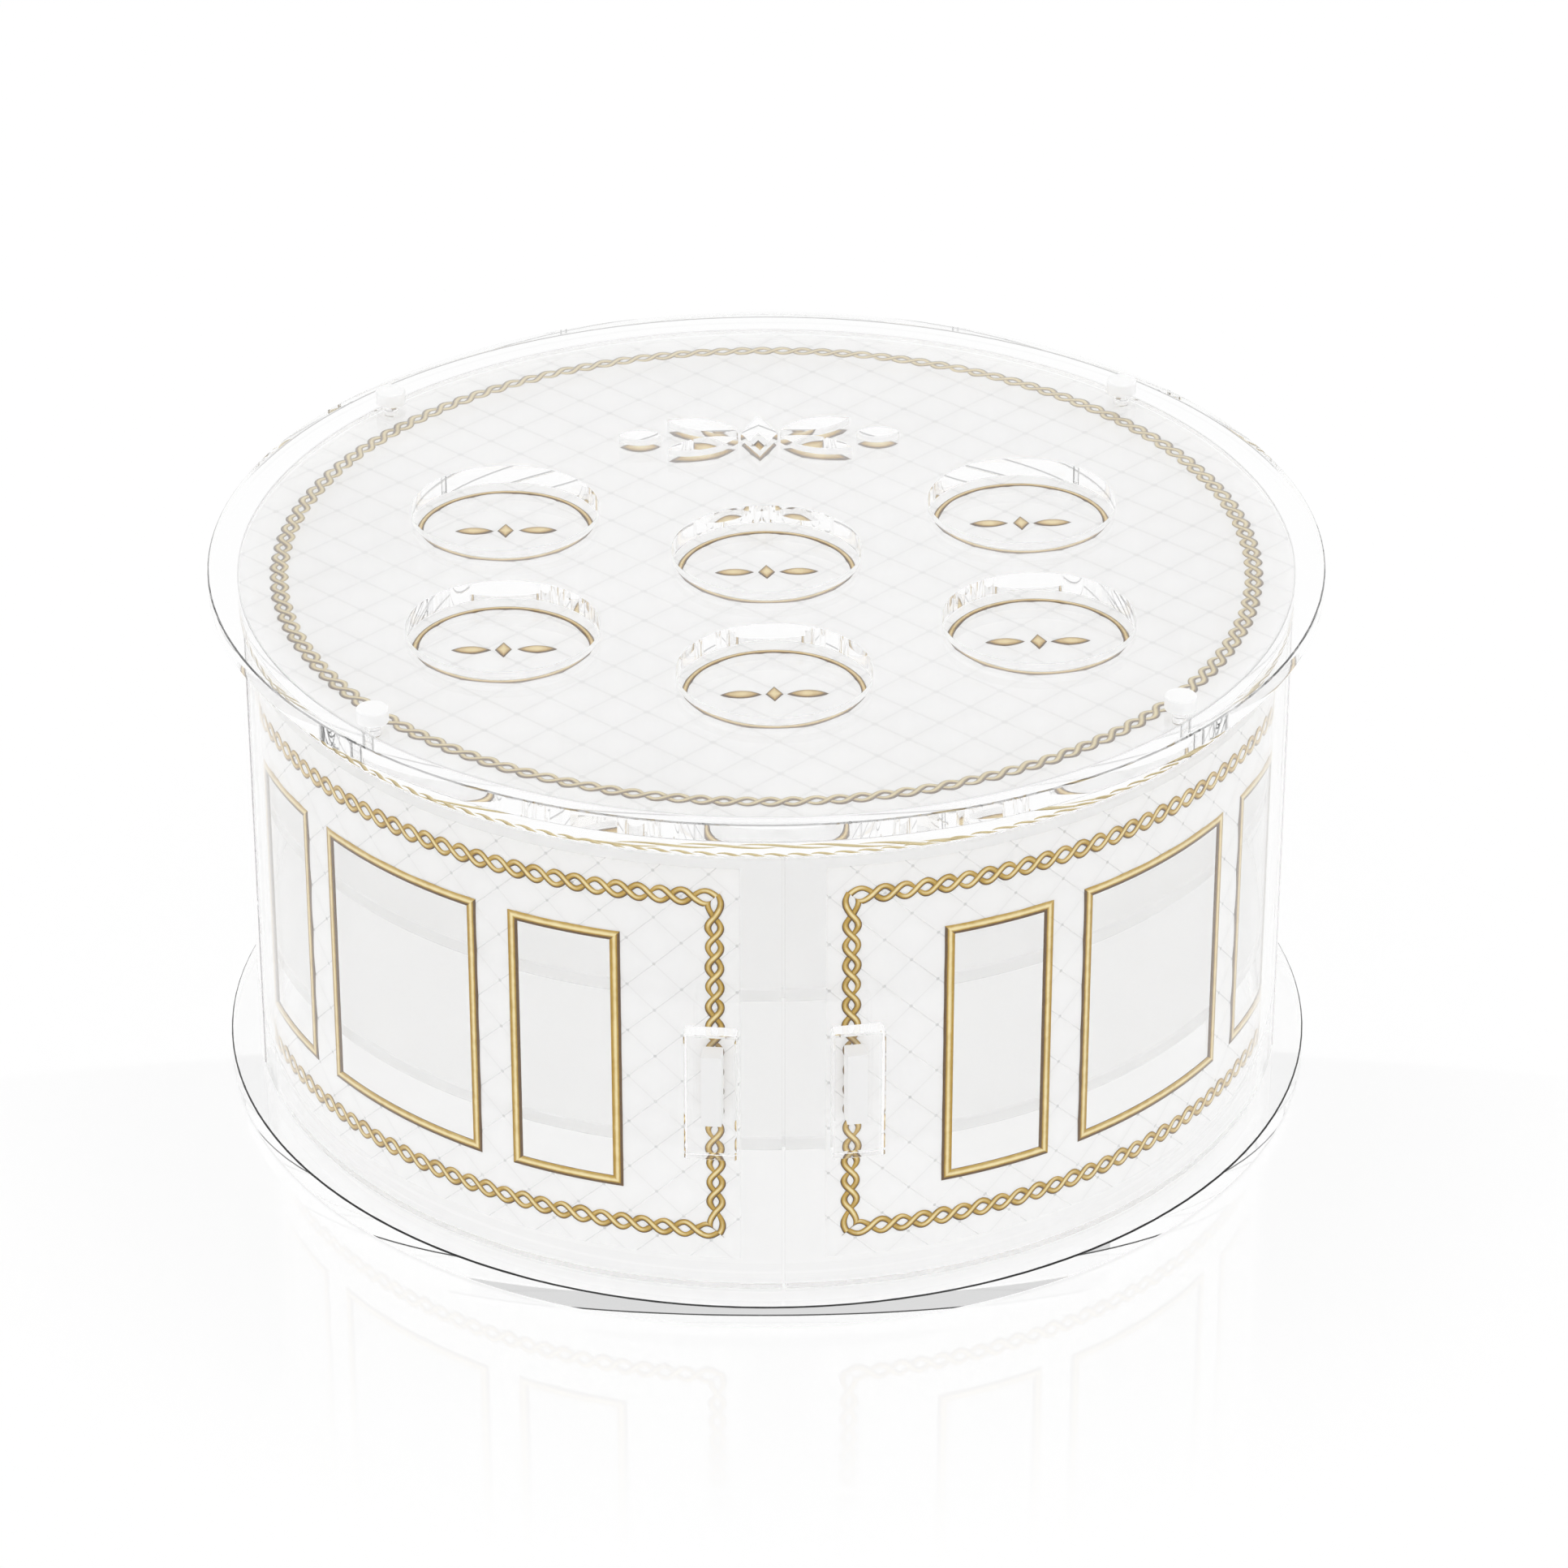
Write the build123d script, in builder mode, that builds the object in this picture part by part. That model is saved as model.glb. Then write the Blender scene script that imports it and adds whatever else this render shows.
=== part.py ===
"""Round seder plate of clear acrylic on a drum-shaped matzah cupboard, in millimetres.

The drum's axis is Z, the base plate stands on Z = 0 and the front of the cupboard faces -Y. Angles round the
drum are measured from the front, towards +X. Right-hand pieces are modelled and left-hand ones mirrored.
"""

from build123d import *

import os
from math import cos, degrees, radians, sin

# Discs and heights of the drum, from the floor up
drum_diameter = 360.0
rim_overhang = 10.0  # base plate and tray stand out past the drum
base_thickness = 8.0
tier_height = 51.8  # clear height of each of the three matzah tiers
shelf_thickness = 5.0
lid_floor_thickness = 4.8
sheet_thickness = 0.6  # quilted sheet held in the lid
lid_cover_thickness = 5.0
tray_thickness = 6.6
edge_break = 0.5  # small polished chamfer on the rims of the discs
glue_line = 0.05  # film between glued faces
blind_end_gap = 0.05  # from the end of a pin or peg to the bottom of its hole
tray_rest_gap = 0.2  # between the lid and the tray that lies on it

# Curved wall and doors
wall_thickness = 5.0
hinge_angle = 78.2  # pivot axis of a door
door_clearance = 0.6  # above and below a door
seam_gap = 1.0  # between the two doors at the front
hinge_gap = 0.8  # between a door's rounded edge and the fixed wall
pin_diameter = 2.5
pin_clearance = 0.06  # radial, pin in door
pin_seat_clearance = 0.02  # radial, pin in base or lid
pin_in_door = 7.0
pin_in_base = 5.0
pin_in_lid = 3.8

# Quilted panels behind the wall, with inlaid gold frames and borders
panel_thickness = 0.8
panel_foot_margin = 10.2  # from the base plate to the panel
panel_head_margin = 6.9  # from the panel to the lid
panel_seam_angle = 4.5  # a clear strip is left beside the seam
panel_wall_gap = 0.3  # from the end of the fixed wall to its panel
border_width = 6.4
border_depth = 0.4
border_inset = 10.7  # border's centre line from the panel's upper and lower edges
border_angle = 7.15  # upright run of a door's border
inlay_gap = 0.05  # round each inlaid piece

# Windows: a wide frame between two narrow ones, on each quarter of the drum
frame_border_angle = 10.3  # from the border's upright run to the first frame
frame_hinge_angle = 5.25  # from the last frame to the pivot axis
narrow_frame_angle = 12.2
frame_spacing_angle = 4.5
frame_foot_inset = 25.4  # from the panel's lower edge
frame_head_inset = 27.3  # from the panel's upper edge
frame_width = 2.6

# Shelves
shelf_clearance = 0.5  # from a shelf's edge to the panels

# T-shaped pulls
pull_width = 17.0
pull_height = 47.0
pull_thickness = 6.6
pull_standoff = 7.0
stem_width = 6.6
stem_height = 26.0
pull_edge_break = 0.5

# Tray: six wells in three columns, four pegs and a cut-out ornament
well_diameter = 65.0
well_column_pitch = 89.3
well_row_pitch = 86.9
middle_well_y = -0.9
side_column_y = -10.6  # middle of a side column of wells
peg_rim_inset = 4.0  # from the drum's rim to a peg's axis
peg_angle = 48.0  # from the front, and from the back
peg_diameter = 5.0
peg_cap_diameter = 10.6
peg_cap_height = 4.6
peg_cap_edge = 0.4
peg_in_floor = 3.0
peg_clearance = 0.1  # radial, in the lid
peg_seat_clearance = 0.03  # radial, in the tray

# Gold inlays on the top sheet
inlay_depth = 0.3
top_border_inset = 13.3  # border's centre line from the drum's rim
dish_ring_inset = 1.5  # from a well's wall to its ring
dish_ring_width = 2.0

# Ornament: a lozenge between two fans of leaves, cut in the tray and laid in gold on the sheet below
ornament_y = 88.0
lozenge_width = 13.0
lozenge_height = 27.0
leaf_gap = 1.5  # from the lozenge to the leaves
leaf_length = 26.5
leaf_width = 9.0
leaf_slant = 20.0
end_leaf_length = 15.0
end_leaf_width = 7.5

# Sizes that follow from the ones above
drum_radius = drum_diameter / 2
plate_radius = drum_radius + rim_overhang
wall_inner_radius = drum_radius - wall_thickness
hinge_radius = drum_radius - wall_thickness / 2
panel_inner_radius = wall_inner_radius - glue_line - panel_thickness
panel_outer_radius = wall_inner_radius - glue_line
border_inner_radius = panel_outer_radius - border_depth
shelf_radius = panel_inner_radius - shelf_clearance
top_border_radius = drum_radius - top_border_inset
dish_ring_radius = well_diameter / 2 - dish_ring_inset

lower_shelf_z = base_thickness + tier_height
upper_shelf_z = lower_shelf_z + shelf_thickness + tier_height
lid_floor_z = upper_shelf_z + shelf_thickness + tier_height
sheet_z = lid_floor_z + lid_floor_thickness
lid_cover_z = sheet_z + sheet_thickness
tray_z = lid_cover_z + lid_cover_thickness + tray_rest_gap
tray_top_z = tray_z + tray_thickness

door_low_z = base_thickness + door_clearance
door_high_z = lid_floor_z - door_clearance
panel_low_z = base_thickness + panel_foot_margin
panel_high_z = lid_floor_z - panel_head_margin
border_low_z = panel_low_z + border_inset
border_high_z = panel_high_z - border_inset
frame_low_z = panel_low_z + frame_foot_inset
frame_high_z = panel_high_z - frame_head_inset
pull_z = (door_low_z + door_high_z) / 2

seam_angle = degrees(seam_gap / 2 / hinge_radius)
wall_end_angle = hinge_angle + degrees((wall_thickness / 2 + hinge_gap) / hinge_radius)
back_panel_angle = wall_end_angle + degrees(panel_wall_gap / wall_inner_radius)
border_half_angle = degrees(border_width / 2 / wall_inner_radius)
frame_side_angle = degrees(frame_width / wall_inner_radius)
inlay_gap_angle = degrees(inlay_gap / wall_inner_radius)

first_frame_start = border_angle + frame_border_angle
last_frame_end = hinge_angle - frame_hinge_angle
first_frame_end = first_frame_start + narrow_frame_angle
last_frame_start = last_frame_end - narrow_frame_angle
door_frame_spans = [
    (first_frame_start, first_frame_end),
    (first_frame_end + frame_spacing_angle, last_frame_start - frame_spacing_angle),
    (last_frame_start, last_frame_end),
]
half_turn = 180
full_turn = 360
back_frame_spans = [(half_turn - end, half_turn - start) for start, end in door_frame_spans]
back_frame_spans += [(half_turn + start, half_turn + end) for start, end in door_frame_spans]

well_centres = [
    (0, middle_well_y),
    (0, middle_well_y - well_row_pitch),
    (-well_column_pitch, side_column_y + well_row_pitch / 2),
    (-well_column_pitch, side_column_y - well_row_pitch / 2),
    (well_column_pitch, side_column_y + well_row_pitch / 2),
    (well_column_pitch, side_column_y - well_row_pitch / 2),
]
leaf_start = lozenge_width / 2 + leaf_gap
leaf_reach = leaf_start + leaf_length / 2
end_leaf_reach = leaf_start + leaf_length + end_leaf_length / 2
MIDDLE_FOOT = (Align.CENTER, Align.CENTER, Align.MIN)


def round_point(radius, angle):
    """Point in plan at an angle from the front."""
    return (radius * sin(radians(angle)), -radius * cos(radians(angle)))


peg_points = [
    round_point(drum_radius - peg_rim_inset, angle)
    for angle in (peg_angle, -peg_angle, half_turn - peg_angle, half_turn + peg_angle)
]
hinge_point = round_point(hinge_radius, hinge_angle)


def radial_plane(angle):
    """Upright plane through the drum's axis: X outwards at the angle, Y up."""
    outwards = (sin(radians(angle)), -cos(radians(angle)), 0)
    across = (-cos(radians(angle)), -sin(radians(angle)), 0)
    return Plane(origin=(0, 0, 0), x_dir=outwards, z_dir=across)


def facing_plane(angle, radius, z):
    """Upright plane that faces outwards at the angle, with X along the wall and Y up."""
    x, y = round_point(radius, angle)
    along = (cos(radians(angle)), sin(radians(angle)), 0)
    outwards = (sin(radians(angle)), -cos(radians(angle)), 0)
    return Plane(origin=(x, y, z), x_dir=along, z_dir=outwards)


def arc_block(radii, heights, angles, mode=Mode.ADD):
    """Bent block between two radii, two heights and two angles."""
    with BuildSketch(radial_plane(angles[0])) as section:
        with Locations((sum(radii) / 2, sum(heights) / 2)):
            Rectangle(radii[1] - radii[0], heights[1] - heights[0])
    revolve(section.sketch, axis=Axis.Z, revolution_arc=angles[1] - angles[0], mode=mode)


def round_edge(start, through, end, radius):
    """Arc round the drum's axis, through three angles."""
    ThreePointArc(*(round_point(radius, angle) for angle in (start, through, end)))


def leaf(middle, length, width, slant):
    """Pointed leaf between two arcs."""
    along = (cos(radians(slant)), sin(radians(slant)))
    across = (-along[1], along[0])

    def at(forward, sideways):
        return tuple(m + forward * a + sideways * c for m, a, c in zip(middle, along, across))

    with BuildLine() as outline:
        ThreePointArc(at(-length / 2, 0), at(0, width / 2), at(length / 2, 0))
        ThreePointArc(at(length / 2, 0), at(0, -width / 2), at(-length / 2, 0))
    make_face(outline.edges())


def ornament(grow):
    """Lozenge with three leaves on each side, grown all round by a clearance."""
    half_width = lozenge_width / 2 + grow
    half_height = lozenge_height / 2 + grow
    with BuildLine() as outline:
        Polyline(
            (half_width, ornament_y),
            (0, ornament_y + half_height),
            (-half_width, ornament_y),
            (0, ornament_y - half_height),
            close=True,
        )
    make_face(outline.edges())
    for side in (-1, 1):
        for tilt in (-leaf_slant, leaf_slant):
            reach = (side * leaf_reach * cos(radians(tilt)), ornament_y + leaf_reach * sin(radians(tilt)))
            leaf(reach, leaf_length + 2 * grow, leaf_width + 2 * grow, side * tilt)
        end = (side * end_leaf_reach, ornament_y)
        leaf(end, end_leaf_length + 2 * grow, end_leaf_width + 2 * grow, 0)


# Base plate with a blind hole for each lower pin
hinge_points = [hinge_point, (-hinge_point[0], hinge_point[1])]
with BuildPart() as base_plate:
    Cylinder(plate_radius, base_thickness, align=MIDDLE_FOOT)
    chamfer(base_plate.edges().filter_by(GeomType.CIRCLE), edge_break)
    with Locations(*[(x, y, base_thickness) for x, y in hinge_points]):
        Hole(pin_diameter / 2 + pin_seat_clearance, depth=pin_in_base)

# Fixed wall at the sides and back
with BuildPart() as back_wall:
    with BuildSketch(Plane.XY.offset(base_thickness + glue_line)):
        with BuildLine():
            far_end = full_turn - wall_end_angle
            round_edge(wall_end_angle, half_turn, far_end, drum_radius)
            Line(round_point(drum_radius, far_end), round_point(wall_inner_radius, far_end))
            round_edge(far_end, half_turn, wall_end_angle, wall_inner_radius)
            Line(round_point(wall_inner_radius, wall_end_angle), round_point(drum_radius, wall_end_angle))
        make_face()
    extrude(amount=lid_floor_z - base_thickness - 2 * glue_line)

# Two shelves between the three tiers
with BuildPart(Plane.XY.offset(lower_shelf_z)) as lower_shelf:
    Cylinder(shelf_radius, shelf_thickness, align=MIDDLE_FOOT)
    chamfer(lower_shelf.edges().filter_by(GeomType.CIRCLE), edge_break)
with BuildPart(Plane.XY.offset(upper_shelf_z)) as upper_shelf:
    Cylinder(shelf_radius, shelf_thickness, align=MIDDLE_FOOT)
    chamfer(upper_shelf.edges().filter_by(GeomType.CIRCLE), edge_break)

# Lid: floor, quilted sheet and cover, all drilled for the tray's pegs
peg_hole_radius = peg_diameter / 2 + peg_clearance
with BuildPart() as lid_floor:
    with Locations((0, 0, lid_floor_z)):
        Cylinder(drum_radius, lid_floor_thickness, align=MIDDLE_FOOT)
    with Locations(*[(x, y, lid_floor_z + lid_floor_thickness) for x, y in peg_points]):
        Hole(peg_hole_radius, depth=peg_in_floor)
    with BuildSketch(Plane.XY.offset(lid_floor_z)):
        with Locations(*hinge_points):
            Circle(pin_diameter / 2 + pin_seat_clearance)
    extrude(amount=pin_in_lid, mode=Mode.SUBTRACT)

with BuildPart() as top_sheet:
    with Locations((0, 0, sheet_z)):
        Cylinder(drum_radius, sheet_thickness, align=MIDDLE_FOOT)
    with BuildSketch(Plane.XY.offset(sheet_z)):
        with Locations(*peg_points):
            Circle(peg_hole_radius)
    extrude(amount=sheet_thickness, mode=Mode.SUBTRACT)
    with BuildSketch(Plane.XY.offset(lid_cover_z - inlay_depth)):
        Circle(top_border_radius + border_width / 2 + inlay_gap)
        Circle(top_border_radius - border_width / 2 - inlay_gap, mode=Mode.SUBTRACT)
    extrude(amount=inlay_depth, mode=Mode.SUBTRACT)
    with BuildSketch(Plane.XY.offset(lid_cover_z - inlay_depth)):
        with Locations(*well_centres):
            Circle(dish_ring_radius + inlay_gap)
            Circle(dish_ring_radius - dish_ring_width - inlay_gap, mode=Mode.SUBTRACT)
    extrude(amount=inlay_depth, mode=Mode.SUBTRACT)
    with BuildSketch(Plane.XY.offset(lid_cover_z - inlay_depth)):
        ornament(inlay_gap)
    extrude(amount=inlay_depth, mode=Mode.SUBTRACT)

with BuildPart() as top_border:
    with BuildSketch(Plane.XY.offset(lid_cover_z - inlay_depth)):
        Circle(top_border_radius + border_width / 2)
        Circle(top_border_radius - border_width / 2, mode=Mode.SUBTRACT)
    extrude(amount=inlay_depth)

with BuildPart() as dish_rings:
    with BuildSketch(Plane.XY.offset(lid_cover_z - inlay_depth)):
        with Locations(*well_centres):
            Circle(dish_ring_radius)
            Circle(dish_ring_radius - dish_ring_width, mode=Mode.SUBTRACT)
    extrude(amount=inlay_depth)

with BuildPart() as title_inlay:
    with BuildSketch(Plane.XY.offset(lid_cover_z - inlay_depth)):
        ornament(0)
    extrude(amount=inlay_depth)

with BuildPart() as lid_cover:
    with Locations((0, 0, lid_cover_z)):
        Cylinder(drum_radius, lid_cover_thickness, align=MIDDLE_FOOT)
    with BuildSketch(Plane.XY.offset(lid_cover_z)):
        with Locations(*peg_points):
            Circle(peg_hole_radius)
    extrude(amount=lid_cover_thickness, mode=Mode.SUBTRACT)

# Tray with wells, peg holes and the cut-out ornament
with BuildPart() as tray:
    with Locations((0, 0, tray_z)):
        Cylinder(plate_radius, tray_thickness, align=MIDDLE_FOOT)
    chamfer(tray.edges().filter_by(GeomType.CIRCLE), edge_break)
    with BuildSketch(Plane.XY.offset(tray_z)):
        with Locations(*well_centres):
            Circle(well_diameter / 2)
        with Locations(*peg_points):
            Circle(peg_diameter / 2 + peg_seat_clearance)
        ornament(0)
    extrude(amount=tray_thickness, mode=Mode.SUBTRACT)

# Capped pegs that hold the tray in place on the lid
peg_low_z = sheet_z - peg_in_floor + blind_end_gap
with BuildPart() as tray_pegs:
    with Locations(*[(x, y, tray_top_z + glue_line) for x, y in peg_points]):
        Cylinder(peg_cap_diameter / 2, peg_cap_height, align=MIDDLE_FOOT)
    chamfer(tray_pegs.edges().filter_by(GeomType.CIRCLE).group_by(Axis.Z)[-1], peg_cap_edge)
    with Locations(*[(x, y, peg_low_z) for x, y in peg_points]):
        Cylinder(peg_diameter / 2, tray_top_z + glue_line - peg_low_z, align=MIDDLE_FOOT)

# Door: curved sheet whose outer edge is rounded about the pivot, with a pin hole in each end
with BuildPart() as right_door:
    with BuildSketch(Plane.XY.offset(door_low_z)):
        with BuildLine():
            middle_angle = hinge_angle / 2
            round_edge(seam_angle, middle_angle, hinge_angle, drum_radius)
            rounded_angle = hinge_angle + degrees(wall_thickness / 2 / hinge_radius)
            ThreePointArc(
                round_point(drum_radius, hinge_angle),
                round_point(hinge_radius, rounded_angle),
                round_point(wall_inner_radius, hinge_angle),
            )
            round_edge(hinge_angle, middle_angle, seam_angle, wall_inner_radius)
            Line(round_point(wall_inner_radius, seam_angle), round_point(drum_radius, seam_angle))
        make_face()
    extrude(amount=door_high_z - door_low_z)
    pin_hole_depth = pin_in_door + blind_end_gap
    for hole_z in (door_low_z, door_high_z - pin_hole_depth):
        with BuildSketch(Plane.XY.offset(hole_z)):
            with Locations(hinge_point):
                Circle(pin_diameter / 2 + pin_clearance)
        extrude(amount=pin_hole_depth, mode=Mode.SUBTRACT)

# Pivot pins, glued in the base plate and in the lid's floor
lower_pin_z = base_thickness - pin_in_base + blind_end_gap
with BuildPart() as right_lower_pin:
    with Locations((*hinge_point, lower_pin_z)):
        Cylinder(pin_diameter / 2, door_low_z + pin_in_door - lower_pin_z, align=MIDDLE_FOOT)
upper_pin_z = door_high_z - pin_in_door
with BuildPart() as right_upper_pin:
    with Locations((*hinge_point, upper_pin_z)):
        Cylinder(pin_diameter / 2, lid_floor_z + pin_in_lid - blind_end_gap - upper_pin_z, align=MIDDLE_FOOT)


panel_radii = (panel_inner_radius, panel_outer_radius)
border_radii = (border_inner_radius, panel_outer_radius)
panel_heights = (panel_low_z, panel_high_z)


def row_heights(middle, grow):
    """Lower and upper edge of a border row, grown by a clearance."""
    return (middle - border_width / 2 - grow, middle + border_width / 2 + grow)


def border_rows(start, end, grow, mode):
    """Upper and lower rows of a twist border between two angles."""
    for row_z in (border_low_z, border_high_z):
        arc_block(border_radii, row_heights(row_z, grow), (start, end), mode)


def border_upright(grow, mode):
    """Upright run of a door's border, beside the seam."""
    reach = border_half_angle + degrees(grow / wall_inner_radius)
    heights = (row_heights(border_low_z, grow)[0], row_heights(border_high_z, grow)[1])
    arc_block(border_radii, heights, (border_angle - reach, border_angle + reach), mode)


def cut_windows(spans):
    """Window openings that the gold frames fit into."""
    heights = (frame_low_z - inlay_gap, frame_high_z + inlay_gap)
    for start, end in spans:
        arc_block(panel_radii, heights, (start - inlay_gap_angle, end + inlay_gap_angle), Mode.SUBTRACT)


def add_frames(spans):
    """Gold frames, each a bent rectangular ring."""
    inner_heights = (frame_low_z + frame_width, frame_high_z - frame_width)
    for start, end in spans:
        arc_block(panel_radii, (frame_low_z, frame_high_z), (start, end))
        arc_block(panel_radii, inner_heights, (start + frame_side_angle, end - frame_side_angle), Mode.SUBTRACT)


# Quilted panel, frames and twist border of a door
border_start_angle = border_angle - border_half_angle
with BuildPart() as right_door_panel:
    arc_block(panel_radii, panel_heights, (panel_seam_angle, hinge_angle))
    border_rows(border_start_angle - inlay_gap_angle, hinge_angle, inlay_gap, Mode.SUBTRACT)
    border_upright(inlay_gap, Mode.SUBTRACT)
    cut_windows(door_frame_spans)
with BuildPart() as right_door_frames:
    add_frames(door_frame_spans)
with BuildPart() as right_door_border:
    border_rows(border_start_angle, hinge_angle, 0, Mode.ADD)
    border_upright(0, Mode.ADD)

# Quilted panel, frames and twist border of the fixed wall
back_span = (back_panel_angle, full_turn - back_panel_angle)
with BuildPart() as back_panel:
    arc_block(panel_radii, panel_heights, back_span)
    border_rows(*back_span, inlay_gap, Mode.SUBTRACT)
    cut_windows(back_frame_spans)
with BuildPart() as back_frames:
    add_frames(back_frame_spans)
with BuildPart() as back_border:
    border_rows(*back_span, 0, Mode.ADD)

# T-shaped pull: a stem on the door and a plate across it
plate_back_radius = drum_radius + pull_standoff
with BuildPart() as right_pull_stem:
    with BuildSketch(facing_plane(border_angle, wall_inner_radius, pull_z)):
        Rectangle(stem_width, stem_height)
    extrude(amount=plate_back_radius - glue_line - wall_inner_radius)
    with Locations((0, 0, pull_z)):
        Cylinder(drum_radius + glue_line, pull_height, mode=Mode.SUBTRACT)
with BuildPart() as right_pull_plate:
    with BuildSketch(facing_plane(border_angle, plate_back_radius, pull_z)):
        Rectangle(pull_width, pull_height)
    extrude(amount=pull_thickness)
    chamfer(right_pull_plate.edges(), pull_edge_break)

pieces = {
    "base_plate": base_plate,
    "back_wall": back_wall,
    "lower_shelf": lower_shelf,
    "upper_shelf": upper_shelf,
    "lid_floor": lid_floor,
    "top_sheet": top_sheet,
    "top_border": top_border,
    "dish_rings": dish_rings,
    "title_inlay": title_inlay,
    "lid_cover": lid_cover,
    "tray": tray,
    "tray_pegs": tray_pegs,
    "back_panel": back_panel,
    "back_frames": back_frames,
    "back_border": back_border,
}
right_pieces = {
    "door": right_door,
    "lower_pin": right_lower_pin,
    "upper_pin": right_upper_pin,
    "door_panel": right_door_panel,
    "door_frames": right_door_frames,
    "door_border": right_door_border,
    "pull_stem": right_pull_stem,
    "pull_plate": right_pull_plate,
}
for name, right_piece in right_pieces.items():
    with BuildPart() as left_piece:
        mirror(right_piece.part, about=Plane.YZ)
    pieces["right_" + name] = right_piece
    pieces["left_" + name] = left_piece

os.makedirs("parts", exist_ok=True)
for name, piece in pieces.items():
    piece.part.label = name
    export_step(piece.part, f"parts/{name}.step")
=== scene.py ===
# %% [markdown]
# # A clear seder plate on a matzah drum
#
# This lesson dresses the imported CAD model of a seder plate: a clear acrylic tray with six wells, lying on a
# clear drum with two curved doors. The CAD model already has every clear piece in its true shape. What it
# lacks is the look of the soft and golden pieces: the quilted white sheets, the twisted gold borders, and
# the gold mouldings. Each step says what the piece is on the real object, how it could be made in Blender,
# and why it is made this way.

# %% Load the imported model
from math import cos, pi, radians, sin

import bpy
import numpy as np
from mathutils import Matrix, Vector


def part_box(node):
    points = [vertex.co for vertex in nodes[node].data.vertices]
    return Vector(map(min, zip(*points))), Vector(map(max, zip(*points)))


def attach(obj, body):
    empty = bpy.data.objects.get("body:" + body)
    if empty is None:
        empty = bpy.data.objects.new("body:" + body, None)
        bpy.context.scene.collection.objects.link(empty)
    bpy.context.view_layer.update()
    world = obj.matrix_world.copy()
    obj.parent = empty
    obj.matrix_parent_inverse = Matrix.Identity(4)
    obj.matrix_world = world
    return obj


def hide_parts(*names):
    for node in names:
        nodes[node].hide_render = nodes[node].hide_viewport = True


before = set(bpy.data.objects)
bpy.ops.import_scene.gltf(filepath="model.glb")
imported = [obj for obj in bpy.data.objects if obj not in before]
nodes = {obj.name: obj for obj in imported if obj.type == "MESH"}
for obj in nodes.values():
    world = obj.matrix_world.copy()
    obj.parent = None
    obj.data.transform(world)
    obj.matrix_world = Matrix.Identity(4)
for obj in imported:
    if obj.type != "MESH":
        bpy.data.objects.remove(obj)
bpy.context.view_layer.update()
MM = 0.001
print("CAD nodes:", len(nodes))

# %% [markdown]
# ## Measure the frame
#
# The drum is round, so most sizes are radii and angles. They are measured on the CAD meshes, so that a new
# piece sits where the CAD piece was. Angles are counted from the middle of the front, growing to the right.

# %% Measure the drum and the lid
SPAN_GAP = 0.05  # degrees without faces that part one span from the next


def node_points(node):
    """Vertices of a CAD node as an array of rows x, y, z."""
    mesh = nodes[node].data
    flat = np.zeros(len(mesh.vertices) * 3)
    mesh.vertices.foreach_get("co", flat)
    return flat.reshape(-1, 3)


def node_radii(node):
    """Smallest and largest distance of a CAD node's vertices from the drum's axis."""
    points = node_points(node)
    distance = np.hypot(points[:, 0], points[:, 1])
    return distance.min(), distance.max()


def node_spans(node, middle):
    """Angles in degrees that a CAD node covers, as (start, end) pairs, near the angle middle."""
    points = node_points(node)
    turn = np.degrees(np.arctan2(points[:, 0], -points[:, 1]))
    turn = (turn - middle + 180) % 360 - 180 + middle
    faces = [turn[list(polygon.vertices)] for polygon in nodes[node].data.polygons]
    sides = sorted((face.min(), face.max()) for face in faces)
    spans = [list(sides[0])]
    for start, end in sides[1:]:
        if start > spans[-1][1] + SPAN_GAP:
            spans.append([start, end])
        else:
            spans[-1][1] = max(spans[-1][1], end)
    return spans


wall_inside = node_radii("back_wall")[0]
panel_back = node_radii("back_panel")[0]
drum_radius = node_radii("lid_floor")[1]
plate_radius = node_radii("base_plate")[1]
sheet_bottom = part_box("top_sheet")[0][2]
sheet_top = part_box("top_sheet")[1][2]
panel_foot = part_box("back_panel")[0][2]
panel_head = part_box("back_panel")[1][2]
frame_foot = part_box("back_frames")[0][2]
frame_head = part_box("back_frames")[1][2]
print("wall, drum and plate radii", np.round([wall_inside, drum_radius, plate_radius], 5).tolist())
print("door frame spans", np.round(node_spans("right_door_frames", 45), 2).tolist())

# %% [markdown]
# ## Camera
#
# The photograph was taken with a long lens from about two metres away, looking down at thirty degrees. The
# plate is turned by almost two degrees. The lens and the place come from fitting the rims, wells and pegs
# to the photograph.

# %% Place the camera
CAMERA_LENS = 136.9
SENSOR_WIDTH = 36
CAMERA_DISTANCE = 2.0783
CAMERA_HEIGHT = radians(29.514)
CAMERA_TURN = radians(-1.86)
AIM_SIDE = 0.00597
AIM_HEIGHT = 0.09786

scene = bpy.context.scene
camera_data = bpy.data.cameras.new("camera")
camera_data.lens = CAMERA_LENS
camera_data.sensor_width = SENSOR_WIDTH
camera = bpy.data.objects.new("camera", camera_data)
scene.collection.objects.link(camera)
aim = Vector((AIM_SIDE * cos(CAMERA_TURN), AIM_SIDE * sin(CAMERA_TURN), AIM_HEIGHT))
away = CAMERA_DISTANCE * cos(CAMERA_HEIGHT)
rise = CAMERA_DISTANCE * sin(CAMERA_HEIGHT)
eye = aim + Vector((away * sin(CAMERA_TURN), -away * cos(CAMERA_TURN), rise))
camera.location = eye
camera.rotation_euler = (aim - eye).to_track_quat("-Z", "Y").to_euler()
scene.camera = camera
print("camera at", [round(c, 3) for c in eye])

# %% [markdown]
# ## Materials
#
# Each material starts from what the piece is made of. Colours are written as hex values and turned into
# linear light in one place. One small function adds a node, sets it, and links its inputs.

# %% Colour and node helpers
def linear(colour):
    """A hex colour as linear red, green, blue and alpha, by the sRGB formula."""
    channels = [int(colour[i:i + 2], 16) / 255 for i in (1, 3, 5)]
    return tuple(c / 12.92 if c <= 0.04045 else ((c + 0.055) / 1.055) ** 2.4 for c in channels) + (1.0,)


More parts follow.
